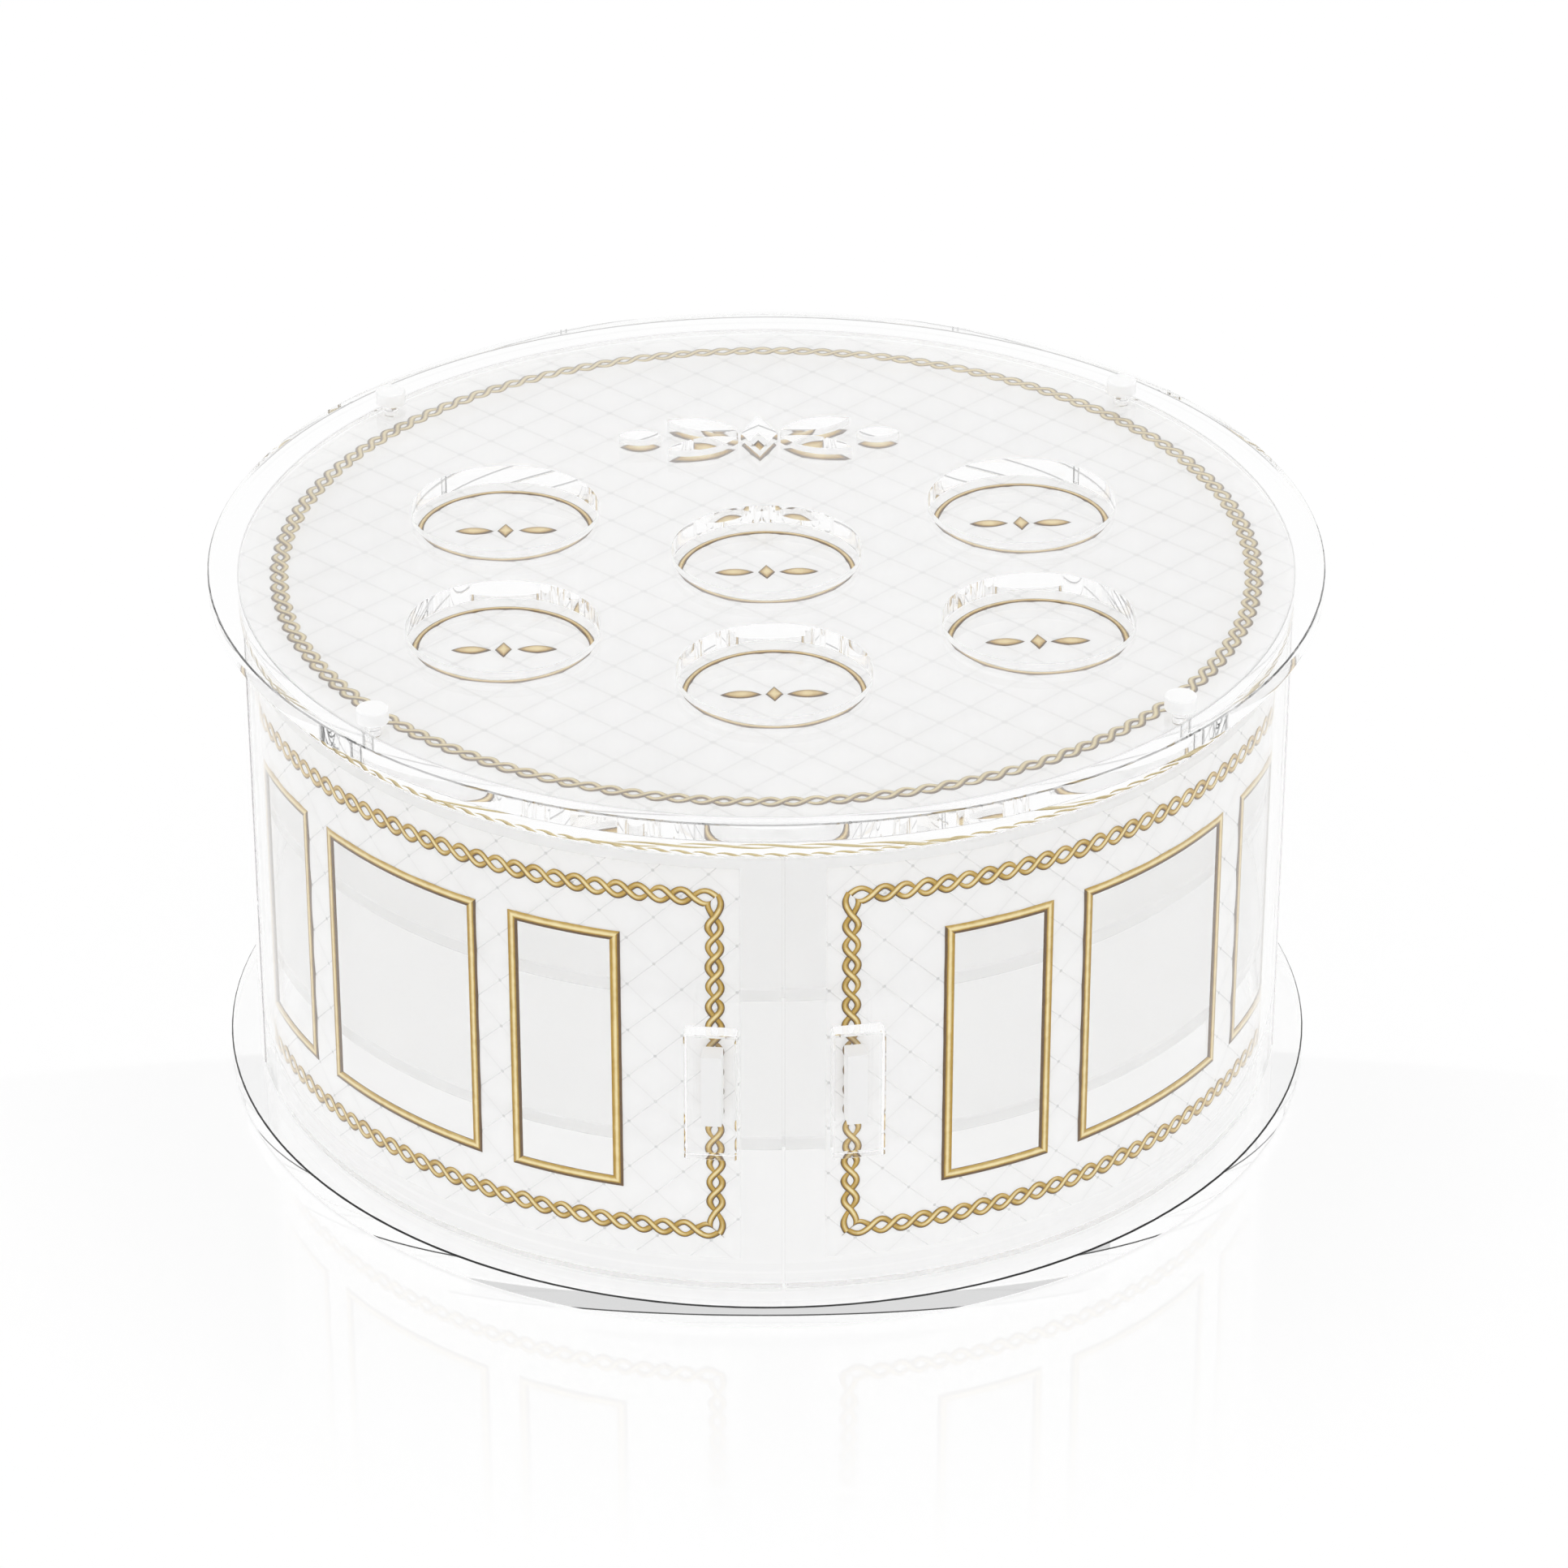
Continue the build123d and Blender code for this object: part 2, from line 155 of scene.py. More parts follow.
def add_node(tree, kind, sockets=None, **settings):
    """Add a node of one kind, with its settings, and fill its input sockets with values or links."""
    node = tree.nodes.new(kind)
    for name, value in settings.items():
        setattr(node, name, value)
    for name, value in (sockets or {}).items():
        if isinstance(value, bpy.types.NodeSocket):
            tree.links.new(value, node.inputs[name])
        else:
            node.inputs[name].default_value = value
    return node


def new_material(name):
    """An empty node material and its tree."""
    material = bpy.data.materials.new(name)
    material.use_nodes = True
    material.node_tree.nodes.clear()
    return material, material.node_tree


COLOUR = {"data_type": "RGBA"}
SMOOTH = {"interpolation_type": "SMOOTHSTEP"}
MIX_A, MIX_B, MIX_RESULT = 6, 7, 2  # places of the colour sockets on a Mix node
print("white in linear light:", linear("#FFFFFF"))

# %% [markdown]
# ### Clear acrylic
#
# The tray, the discs, the wall and the doors are cast acrylic, cut by laser or router and polished. Cast
# acrylic is almost without colour and has an index of refraction of 1.49. A very faint cloud in the colour
# keeps big faces from looking computed. The shelves are frosted. The caps of the pegs and the stems of the
# pulls are milky and hide what is behind them.
#
# Each sharp edge is broken by half a millimetre. Light that enters such a break runs round inside the disc
# and hardly comes out, so it shows as a thin dark line along the base and a grey one along the tray. On the
# lid it is satin. The lines could come from light alone, but only after very many bounces, so a mask on the
# height and the radius paints them: a painted dark shade on the base's break and a painted grey one on the
# tray's.

# %% Clear acrylic
ACRYLIC_INDEX = 1.49
EDGE_BREAK = 0.49 * MM  # just less than the real break, so that the faces beside it stay clear
CAP_GAP = 0.05 * MM
CLOUD_SIZE = 60 * MM
FROST, HAZE = 0.5, 0.6
CAP_MILK, STEM_MILK = 0.75, 0.85
EVERY_RADIUS = -1.0
CLEAR_CLOUDS = ("#FDFDFD", "#FFFFFF")
MILKY_CLOUDS = ("#F8F8F8", "#FAFAFA")


def edge_mask(tree, place, middle, above, beyond):
    """One where a point is farther than above from a middle height and beyond a radius, elsewhere zero."""
    split = add_node(tree, "ShaderNodeSeparateXYZ", {0: place})
    level = add_node(tree, "ShaderNodeCombineXYZ", {0: split.outputs[0], 1: split.outputs[1]})
    reach = add_node(tree, "ShaderNodeVectorMath", {0: level.outputs[0]}, operation="LENGTH")
    rise = add_node(tree, "ShaderNodeMath", {0: split.outputs[2], 1: middle}, operation="SUBTRACT")
    rise = add_node(tree, "ShaderNodeMath", {0: rise.outputs[0]}, operation="ABSOLUTE")
    upper = add_node(tree, "ShaderNodeMath", {0: rise.outputs[0], 1: above}, operation="GREATER_THAN")
    outer = add_node(tree, "ShaderNodeMath", {
        0: reach.outputs["Value"], 1: beyond}, operation="GREATER_THAN")
    both = add_node(tree, "ShaderNodeMath", {
        0: upper.outputs[0], 1: outer.outputs[0]}, operation="MULTIPLY")
    return both.outputs[0]


def acrylic(name, haze=0.0, milk=0.0, clouds=CLEAR_CLOUDS, edge=None, shade=None):
    """Acrylic with haze and milk all over, or only on an edge, which can also carry a painted shade.

    The edge holds a middle height, a distance from it and a radius, as edge_mask takes them."""
    material, tree = new_material(name)
    place = add_node(tree, "ShaderNodeTexCoord").outputs["Object"]
    cloud = add_node(tree, "ShaderNodeTexNoise", {"Vector": place, "Scale": 1 / CLOUD_SIZE})
    low, high = (linear(colour) for colour in clouds)
    tint = add_node(tree, "ShaderNodeMix", {0: cloud.outputs[0], MIX_A: low, MIX_B: high}, **COLOUR)
    roughness, clearness = haze, 1 - milk
    if edge:
        mask = edge_mask(tree, place, *edge)
        if haze:
            rough = add_node(tree, "ShaderNodeMath", {0: mask, 1: haze}, operation="MULTIPLY")
            roughness = rough.outputs[0]
        if milk:
            clear = add_node(tree, "ShaderNodeMath", {0: mask, 1: -milk, 2: 1.0}, operation="MULTIPLY_ADD")
            clearness = clear.outputs[0]
        # Painted shade: the edge takes the shade's colour, which stands in for the light it traps
        if shade:
            tint = add_node(tree, "ShaderNodeMix", {
                0: mask, MIX_A: tint.outputs[MIX_RESULT], MIX_B: linear(shade)}, **COLOUR)
    shader = add_node(tree, "ShaderNodeBsdfPrincipled", {
        "Base Color": tint.outputs[MIX_RESULT], "IOR": ACRYLIC_INDEX,
        "Roughness": roughness, "Transmission Weight": clearness})
    add_node(tree, "ShaderNodeOutputMaterial", {"Surface": shader.outputs[0]})
    return material


# %% Finishes of the clear pieces
cover_top, base_top, tray_top = (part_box(node)[1][2] for node in ("lid_cover", "base_plate", "tray"))
tray_middle = (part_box("tray")[0][2] + tray_top) / 2
drum_edge, plate_edge = drum_radius - EDGE_BREAK, plate_radius - EDGE_BREAK
peg_caps = (0.0, tray_top + CAP_GAP, EVERY_RADIUS)
cover_edge = (0.0, cover_top - EDGE_BREAK, drum_edge)
base_edge = (0.0, base_top - EDGE_BREAK, plate_edge)
tray_edges = (tray_middle, tray_top - tray_middle - EDGE_BREAK, plate_edge)
polished = acrylic("clear_acrylic")
frosted = acrylic("frosted_acrylic", haze=FROST)
milky = acrylic("milky_acrylic", haze=HAZE, milk=STEM_MILK, clouds=MILKY_CLOUDS)
capped = acrylic("capped_acrylic", haze=HAZE, milk=CAP_MILK, edge=peg_caps)
satin_edged = acrylic("satin_edged_acrylic", haze=FROST, edge=cover_edge)
# Painted shade on the broken edges: dark on the base, grey on the tray
painted_dark_edge = acrylic("dark_edged_acrylic", edge=base_edge, shade="#020202")
painted_grey_edge = acrylic("grey_edged_acrylic", edge=tray_edges, shade="#9A9A9A")
finishes = {
    "lower_shelf": frosted,
    "upper_shelf": frosted,
    "right_pull_stem": milky,
    "left_pull_stem": milky,
    "tray_pegs": capped,
    "lid_cover": satin_edged,
    "base_plate": painted_dark_edge,
    "tray": painted_grey_edge,
}
covered = ("sheet", "panel", "border", "frames", "rings", "inlay")
clear_nodes = [name for name in nodes
               if nodes[name].data.materials and not any(word in name for word in covered)]
for name in clear_nodes:
    nodes[name].data.materials.clear()
    nodes[name].data.materials.append(finishes.get(name, polished))
print("clear nodes:", len(clear_nodes))

# %% [markdown]
# ### Quilted white leatherette
#
# The white sheets are thin leatherette, quilted in diamonds: two sets of slanting stitch lines with a small
# knot where they cross. The puff is geometry. The thread and the knots are drawn by the material, from a
# map that counts millimetres across the two sets of lines, so the thread stays in the creases. The material
# also paints shade: the valleys between the puffs are painted greyer, the grey of a stitch line is partly a
# painted shade of its crease, and on the doors and the lid one set of lines is painted darker than the
# other, as if lit from one side.

# %% Quilted leatherette
GRAIN_SIZE = 0.9 * MM  # about twice the real grain, which is too fine to show
PORE_STRENGTH = 0.1
PORE_DEPTH = 0.05 * MM
SKIN_ROUGHNESS = 0.6
SKIN_DEPTH = 3.0 * MM
# VALLEY_SHARE: share of the spacing over which the painted valley shade fades into the crown's white
VALLEY_SHARE = 0.3
THREAD_FADE = (0.4, 1.4)
KNOT_FADE = (0.6, 1.6)


def leatherette(name, spacing, line_shades, widths, painted_valley_shade, crown, thread_and_crease_shade, knot):
    """White leatherette with stitch lines every spacing millimetres, and a painted shade in the valleys
    between its puffs.

    The line shades say how dark each set of lines is painted. The widths are half a thread and the radius of
    a knot, in millimetres."""
    thread_width, knot_radius = widths
    material, tree = new_material(name)
    quilt = add_node(tree, "ShaderNodeUVMap", uv_map="quilt")
    split = add_node(tree, "ShaderNodeSeparateXYZ", {0: quilt.outputs[0]})
    gaps = [add_node(tree, "ShaderNodeMath", {0: count, 1: spacing / 2}, operation="PINGPONG").outputs[0]
            for count in (split.outputs[0], split.outputs[1])]
    near = add_node(tree, "ShaderNodeMath", {0: gaps[0], 1: gaps[1]}, operation="MINIMUM")
    # Painted shade: greyer along the stitch lines, white on the crowns of the puffs
    puff = add_node(tree, "ShaderNodeMapRange", {
        0: near.outputs[0], 1: 0.0, 2: spacing * VALLEY_SHARE}, **SMOOTH)
    skin = add_node(tree, "ShaderNodeMix", {
        0: puff.outputs[0], MIX_A: linear(painted_valley_shade), MIX_B: linear(crown)}, **COLOUR).outputs[MIX_RESULT]
    # Each stitch line is the thread and a painted shade of its crease
    thread_start, thread_end = (thread_width * share for share in THREAD_FADE)
    for gap, line_shade in zip(gaps, line_shades):
        line = add_node(tree, "ShaderNodeMapRange", {
            0: gap, 1: thread_start, 2: thread_end, 3: line_shade, 4: 0.0}, **SMOOTH)
        skin = add_node(tree, "ShaderNodeMix", {
            0: line.outputs[0], MIX_A: skin, MIX_B: linear(thread_and_crease_shade)}, **COLOUR).outputs[MIX_RESULT]
    corner = add_node(tree, "ShaderNodeCombineXYZ", {0: gaps[0], 1: gaps[1]})
    reach = add_node(tree, "ShaderNodeVectorMath", {0: corner.outputs[0]}, operation="LENGTH")
    knot_start, knot_end = (knot_radius * share for share in KNOT_FADE)
    spot = add_node(tree, "ShaderNodeMapRange", {
        0: reach.outputs["Value"], 1: knot_start, 2: knot_end, 3: 1.0, 4: 0.0}, **SMOOTH)
    skin = add_node(tree, "ShaderNodeMix", {
        0: spot.outputs[0], MIX_A: skin, MIX_B: linear(knot)}, **COLOUR).outputs[MIX_RESULT]
    place = add_node(tree, "ShaderNodeTexCoord")
    grain = add_node(tree, "ShaderNodeTexNoise", {
        "Vector": place.outputs["Object"], "Scale": 1 / GRAIN_SIZE})
    pores = add_node(tree, "ShaderNodeBump", {
        "Strength": PORE_STRENGTH, "Distance": PORE_DEPTH, "Height": grain.outputs[0]})
    shader = add_node(tree, "ShaderNodeBsdfPrincipled", {
        "Base Color": skin, "Roughness": SKIN_ROUGHNESS, "Subsurface Weight": 1.0,
        "Subsurface Scale": SKIN_DEPTH, "Subsurface Radius": (1.0, 1.0, 1.0), "Normal": pores.outputs[0]})
    add_node(tree, "ShaderNodeOutputMaterial", {"Surface": shader.outputs[0]})
    return material


# %% [markdown]
# ### Gold
#
# The twists and mouldings are shiny gold, with light and shade painted into their colour: a painted shade
# in the grooves and a painted highlight along the crests, with a little random wear in the gilding. Each gold
# mesh carries a value called painted_shading, low in a groove and one on a crest, and the colour follows it.
# Sides that face up have a little more of it, a painted light as from above. The backs are bright, because
# the clear rims mirror them.

# %% Gold
GILDING_SIZE = 3 * MM
WEAR = 0.2
GROOVE_FADE = 0.4
CREST_START, CREST_END = 0.82, 1.15
GOLD_ROUGHNESS = 0.3


def gold(name, painted_groove_shade, body, painted_highlight, depth):
    """Gold metal whose colour goes from a painted groove shade to body to a painted highlight with the mesh's
    painted shading.

    It has the groove's painted shade where the painted shading is below depth."""
    material, tree = new_material(name)
    painted_shading = add_node(tree, "ShaderNodeAttribute", attribute_name="painted_shading")
    place = add_node(tree, "ShaderNodeTexCoord")
    gilding = add_node(tree, "ShaderNodeTexNoise", {
        "Vector": place.outputs["Object"], "Scale": 1 / GILDING_SIZE})
    # Random wear in the gilding, added to the painted shading
    wear_and_painted_shading = add_node(tree, "ShaderNodeMath", {
        0: gilding.outputs[0], 1: WEAR, 2: painted_shading.outputs["Fac"]}, operation="MULTIPLY_ADD")
    low = add_node(tree, "ShaderNodeMapRange", {
        0: wear_and_painted_shading.outputs[0], 1: depth, 2: depth + GROOVE_FADE}, **SMOOTH)
    high = add_node(tree, "ShaderNodeMapRange", {
        0: wear_and_painted_shading.outputs[0], 1: CREST_START, 2: CREST_END}, **SMOOTH)
    first = add_node(tree, "ShaderNodeMix", {
        0: low.outputs[0], MIX_A: linear(painted_groove_shade), MIX_B: linear(body)}, **COLOUR)
    second = add_node(tree, "ShaderNodeMix", {
        0: high.outputs[0], MIX_A: first.outputs[MIX_RESULT], MIX_B: linear(painted_highlight)}, **COLOUR)
    shader = add_node(tree, "ShaderNodeBsdfPrincipled", {
        "Base Color": second.outputs[MIX_RESULT], "Metallic": 1.0, "Roughness": GOLD_ROUGHNESS})
    add_node(tree, "ShaderNodeOutputMaterial", {"Surface": shader.outputs[0]})
    return material


# Each gold: painted groove shade, body, painted highlight, and the painted shading below which the groove
# shade is full
wall_gold = gold("wall_gold", "#5C3C00", "#BA920A", "#F4E4AE", 0.43)
lid_gold = gold("lid_gold", "#5A3C04", "#AA8C3E", "#E6D6A2", 0.5)
ring_gold = gold("ring_gold", "#543600", "#C09A42", "#F2E0AC", 0.42)
print("gold materials made")

# %% [markdown]
# ## Meshes from grids
#
# Every soft or golden piece is a grid of points bent round the drum or laid on the lid. These helpers turn
# a grid into faces, and make a piece that rides on its CAD body and stands for its CAD node.

# %% Grid and piece helpers
SHARP_EDGE = 50  # degrees between two faces that make a hard edge


def on_wall(along, height, radius):
    """Points on the drum: arc length along the wall's inside, height, and radius, all in metres."""
    angle = np.asarray(along) / wall_inside
    spread = np.broadcast_arrays(radius * np.sin(angle), -radius * np.cos(angle), height)
    return np.stack(spread, axis=-1)


def arc(angle):
    """Arc length on the wall's inside at an angle in degrees."""
    return radians(angle) * wall_inside


def grid_faces(rows, columns, close_rows=False, close_columns=False):
    """Four-cornered faces of a grid of points that is numbered row by row."""
    row = np.arange(rows if close_rows else rows - 1)
    column = np.arange(columns if close_columns else columns - 1)
    i, j = (a.ravel() for a in np.meshgrid(row, column, indexing="ij"))
    i_next, j_next = (i + 1) % rows, (j + 1) % columns
    corners = [i * columns + j, i * columns + j_next, i_next * columns + j_next, i_next * columns + j]
    return np.stack(corners, axis=1)


def add_piece(name, points, faces, material, body, replaced, painted_shading=None, sharp=SHARP_EDGE):
    """A mesh piece that rides on a CAD body, with outward faces."""
    mesh = bpy.data.meshes.new(name)
    faces = [list(map(int, face)) for face in faces]
    mesh.from_pydata([tuple(p) for p in points], [], faces)
    mesh.update()
    mesh.calc_loop_triangles()
    triangles = np.zeros(len(mesh.loop_triangles) * 3, dtype=np.int32)
    mesh.loop_triangles.foreach_get("vertices", triangles)
    a, b, c = (np.asarray(points)[triangles.reshape(-1, 3)[:, k]] for k in range(3))
    if np.einsum("ij,ij->i", a, np.cross(b, c)).sum() < 0:
        mesh.flip_normals()
    mesh.polygons.foreach_set("use_smooth", [True] * len(mesh.polygons))
    mesh.set_sharp_from_angle(angle=radians(sharp))
    # Painted shading, which the gold's colour follows
    if painted_shading is not None:
        carried = mesh.attributes.new("painted_shading", "FLOAT", "POINT")
        carried.data.foreach_set("value", np.asarray(painted_shading, dtype=np.float32))
    mesh.materials.append(material)
    piece = bpy.data.objects.new(name, mesh)
    scene.collection.objects.link(piece)
    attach(piece, body)
    if replaced:
        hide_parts(replaced)
    print(name, "faces", len(mesh.polygons))
    return piece


# %% [markdown]
# ## Quilted sheets
#
# A quilted sheet is soft between its stitch lines and pulled down along them. A cloth simulation could puff
# it, but the sheet is held flat against the clear wall, so a formula is enough: the height is a smooth bump
# between the two sets of lines. The grid follows the diamonds, and each cell is split along its stitch
# line, so creases stay clean. A thin gap of air stays between the sheet and the acrylic, because they
# aren't glued over their whole faces.

# %% Quilt helpers
PUFF = 0.2 * MM
SHEET_GAP = 0.03 * MM
GOLD_PROUD = 0.19 * MM  # how far the frames stand above the puffs
sheet_depth = SHEET_GAP + GOLD_PROUD + PUFF
HEM = 2.5 * MM
CELLS = 10
LINE_ROOM = 0.3
PUFF_POWER = 0.55
QUILT_SHARP_EDGE = 70
print("sheet lies below the acrylic by mm", round(sheet_depth / MM, 3))


def quilt_lines(start, end, origin, period, extra=()):
    """Grid lines from start to end that fall on tenths of the diamond, with the extra lines added."""
    step = period / CELLS
    first = int(np.ceil((start - origin) / step))
    last = int(np.floor((end - origin) / step))
    lines = [origin + step * k for k in range(first, last + 1)]
    fixed = sorted({start, end, *extra})
    lines = [v for v in lines if min(abs(v - f) for f in fixed) > step * LINE_ROOM]
    return np.array(sorted(lines + fixed))


def quilt_counts(plane, size, origin):
    """How many diamonds each plane point is from the origin, across the two sets of stitch lines."""
    across = (plane[:, 0] - origin[0]) / size[0]
    up = (plane[:, 1] - origin[1]) / size[1]
    return np.stack([across + up, across - up], axis=1)


def quilt_grid(across, up, size, origin, windows=()):
    """Plane points and triangles of a quilt with window openings, each cell split along its stitch line."""
    x, y = np.meshgrid(across, up)
    plane = np.stack([x.ravel(), y.ravel()], axis=1)
    cells = grid_faces(len(up), len(across))
    middle = plane[cells].mean(1)
    keep = np.ones(len(cells), dtype=bool)
    for left, right, foot, head in windows:
        beside = (middle[:, 0] < left) | (middle[:, 0] > right)
        keep &= beside | (middle[:, 1] < foot) | (middle[:, 1] > head)
    counts = quilt_counts(middle[keep], size, origin)
    gap = np.abs(counts - np.round(counts))
    falling = (gap[:, 0] < gap[:, 1])[:, None]
    cells = cells[keep]
    triangles = np.where(falling, cells[:, [0, 1, 3, 1, 2, 3]], cells[:, [0, 1, 2, 0, 2, 3]])
    return plane, triangles.reshape(-1, 3)


# %% Round cuts
def clip_round(plane, triangles, middle, radius, inside):
    """Cut triangles at a circle and keep what is inside it, or what is outside it."""
    points = [tuple(p) for p in plane]
    distance = np.hypot(plane[:, 0] - middle[0], plane[:, 1] - middle[1]) - radius
    kept = distance < 0 if inside else distance > 0
    crossings = {}
    faces = []
    for face in triangles.tolist():
        outline = []
        for start, end in zip(face, face[1:] + face[:1]):
            if kept[start]:
                outline.append(start)
            if kept[start] != kept[end]:
                edge = (min(start, end), max(start, end))
                if edge not in crossings:
                    share = distance[edge[0]] / (distance[edge[0]] - distance[edge[1]])
                    point = plane[edge[0]] + share * (plane[edge[1]] - plane[edge[0]]) - middle
                    point = middle + point * radius / np.hypot(*point)
                    crossings[edge] = len(points)
                    points.append(tuple(point))
                outline.append(crossings[edge])
        faces += [[outline[0], outline[k], outline[k + 1]] for k in range(1, len(outline) - 1)]
    return np.array(points), np.array(faces)


# %% Sheet helper
def quilt_sheet(name, plane, triangles, hem, size, origin, front, back, place, material, body, node):
    """A closed quilted sheet from plane points and triangles; place puts it in the frame."""
    used, corners = np.unique(triangles, return_inverse=True)
    plane, triangles, hem = plane[used], corners.reshape(-1, 3), hem[used]
    counts = quilt_counts(plane, size, origin)
    bumps = np.abs(np.sin(pi * counts))
    height = (bumps[:, 0] * bumps[:, 1]) ** PUFF_POWER * np.clip(hem / HEM, 0, 1)
    points = np.concatenate([place(plane[:, 0], plane[:, 1], front + PUFF * height),
                             place(plane[:, 0], plane[:, 1], np.full(len(plane), back))])
    total = len(plane)
    edges = np.concatenate([triangles[:, [k, (k + 1) % 3]] for k in range(3)]).tolist()
    seen = {tuple(edge) for edge in edges}
    rim = [[end, start, start + total, end + total] for start, end in edges if (end, start) not in seen]
    faces = triangles.tolist() + (triangles[:, ::-1] + total).tolist() + rim
    piece = add_piece(name, points, faces, material, body, node, sharp=QUILT_SHARP_EDGE)
    lines = counts / np.hypot(1 / size[0], 1 / size[1]) / MM
    vertex = np.zeros(len(piece.data.loops), dtype=np.int32)
    piece.data.loops.foreach_get("vertex_index", vertex)
    quilt_map = piece.data.uv_layers.new(name="quilt")
    quilt_map.data.foreach_set("uv", lines[vertex % total].ravel().astype(np.float32))
    return piece


# %% [markdown]
# ### Sheets on the doors and the back wall
#
# The door sheets are mirror images of each other. The photograph shows where the knots lie: one column at
# 4.8 degrees from the seam and one row at a height of 103 mm. The diamonds are 17.8 mm wide and 17.4 mm
# high. Each window opening ends under its gold moulding.

# %% Wall sheets
WALL_DIAMOND = (arc(5.84), 17.43 * MM)
KNOT_HEIGHT = 103.3 * MM
KNOT_ANGLE = 4.8
OPENING_INSET = 1.3 * MM
WALL_THREAD = (0.22, 0.5)
wall_spacing = 1 / np.hypot(1 / WALL_DIAMOND[0], 1 / WALL_DIAMOND[1]) / MM
wall_shades = {"painted_valley_shade": "#F6F6F6", "crown": "#FAFAFA", "thread_and_crease_shade": "#D6D6D6", "knot": "#B8B8B8"}
# How dark the falling and the rising stitch lines are painted. On the doors one set is painted darker, as
# shade from light that falls from one side
wall_line_shades = {"right_door": (1.0, 0.3), "left_door": (0.3, 1.0), "back": (0.7, 0.7)}


def wall_windows(spans):
    """Openings in a wall sheet as left, right, foot and head, from the spans of its mouldings."""
    foot, head = frame_foot + OPENING_INSET, frame_head - OPENING_INSET
    return [(arc(start) + OPENING_INSET, arc(end) - OPENING_INSET, foot, head) for start, end in spans]


# Side, body, middle angle, and 1 for the right door or -1 for the left one
wall_sides = (("right_door", "right_door", 45, 1), ("left_door", "left_door", -45, -1),
              ("back", "cabinet", 180, 0))
for side, body, middle, sign in wall_sides:
    node = side + "_panel"
    leather = leatherette("leatherette_" + side, wall_spacing, wall_line_shades[side], WALL_THREAD, **wall_shades)
    start, end = (arc(angle) for angle in node_spans(node, middle)[0])
    windows = wall_windows(node_spans(side + "_frames", middle))
    knot_place = (arc(sign * KNOT_ANGLE if sign else middle), KNOT_HEIGHT)
    posts = [post for window in windows for post in window[:2]]
    across = quilt_lines(start, end, knot_place[0], WALL_DIAMOND[0], posts)
    up = quilt_lines(panel_foot, panel_head, KNOT_HEIGHT, WALL_DIAMOND[1], windows[0][2:])
    plane, triangles = quilt_grid(across, up, WALL_DIAMOND, knot_place, windows)
    hem = np.minimum.reduce([plane[:, 0] - start, end - plane[:, 0],
                             plane[:, 1] - panel_foot, panel_head - plane[:, 1]])
    sheet = quilt_sheet("quilted_" + side, plane, triangles, hem, WALL_DIAMOND, knot_place,
                        wall_inside - sheet_depth, panel_back, on_wall, leather, body, node)
    width, length = end - start, panel_head - panel_foot

# %% [markdown]
# ### Sheet in the lid
#
# The round sheet between the lid's two clear discs has bigger diamonds, 21 mm across, with a knot at the
# middle of the drum. It starts as a square grid and is cut at the round edge and at the four peg holes.

# %% Lid sheet
LID_DIAMOND = (21.1 * MM, 21.1 * MM)
PEG_HOLE_ROOM = 0.2 * MM
LID_THREAD = (0.5, 1.0)
# How dark the two sets of stitch lines on the lid are painted: one set darker, as shade from light from one
# side
LID_LINE_SHADES = (1.0, 0.8)
lid_spacing = 1 / np.hypot(1 / LID_DIAMOND[0], 1 / LID_DIAMOND[1]) / MM
lid_shades = {"painted_valley_shade": "#F1F1F1", "crown": "#F6F6F6", "thread_and_crease_shade": "#E3E3E3", "knot": "#D2D2D2"}
lid_leather = leatherette("leatherette_lid", lid_spacing, LID_LINE_SHADES, LID_THREAD, **lid_shades)


def on_lid(x, y, height):
    """Points on the lid from plain x, y and height."""
    return np.stack(np.broadcast_arrays(x, y, height), axis=-1)


pegs = node_points("tray_pegs")
shanks = pegs[pegs[:, 2] < sheet_top]
peg_middles, peg_radius = [], 0.0
for right in (-1, 1):
    for rear in (-1, 1):
        shank = shanks[(shanks[:, 0] * right > 0) & (shanks[:, 1] * rear > 0)][:, :2]
        peg_middles.append((shank.min(0) + shank.max(0)) / 2)
        peg_radius = float(np.ptp(shank[:, 0])) / 2

lines = quilt_lines(-drum_radius, drum_radius, 0.0, LID_DIAMOND[0])
plane, triangles = quilt_grid(lines, lines, LID_DIAMOND, (0.0, 0.0))
plane, triangles = clip_round(plane, triangles, np.zeros(2), drum_radius, True)
for middle in peg_middles:
    plane, triangles = clip_round(plane, triangles, middle, peg_radius + PEG_HOLE_ROOM, False)
hem = drum_radius - np.hypot(plane[:, 0], plane[:, 1])
lid_sheet = quilt_sheet("quilted_lid", plane, triangles, hem, LID_DIAMOND, (0.0, 0.0),
                        sheet_top - sheet_depth, sheet_bottom + SHEET_GAP, on_lid, lid_leather, "cabinet",
                        "top_sheet")
print("peg middles", np.round(peg_middles, 4).tolist())
print("peg radius", round(peg_radius, 5))

# %% [markdown]
# ## Gold twists
#
# The border is a cord of two gold strands wound round each other. On the real object it is a shiny print or
# casting under the clear sheet. A strand is a flattened tube whose middle swings from side to side and in
# and out like a screw, so one strand goes over the other at each crossing. The path is laid out flat and
# then bent round the drum.

# %% Twist helper
STRAND_RISE = 0.08 * MM  # how far a strand goes in and out
# Painted shade where a strand goes under the other, and painted light on its sides that face up
UNDER_SHADE = 0.2  # share of the relief that is lost where a strand goes under
UPPER_LIGHT = 0.45  # relief that a side gains by facing up
BACK_START = -0.1  # sine of the angle round the strand where its back begins
# BACK_SHINE: painted shading on the backs, close to the painted highlight
BACK_SHINE = 0.95
STRAND_SIDES = 16
SAMPLES_PER_CROSSING = 14


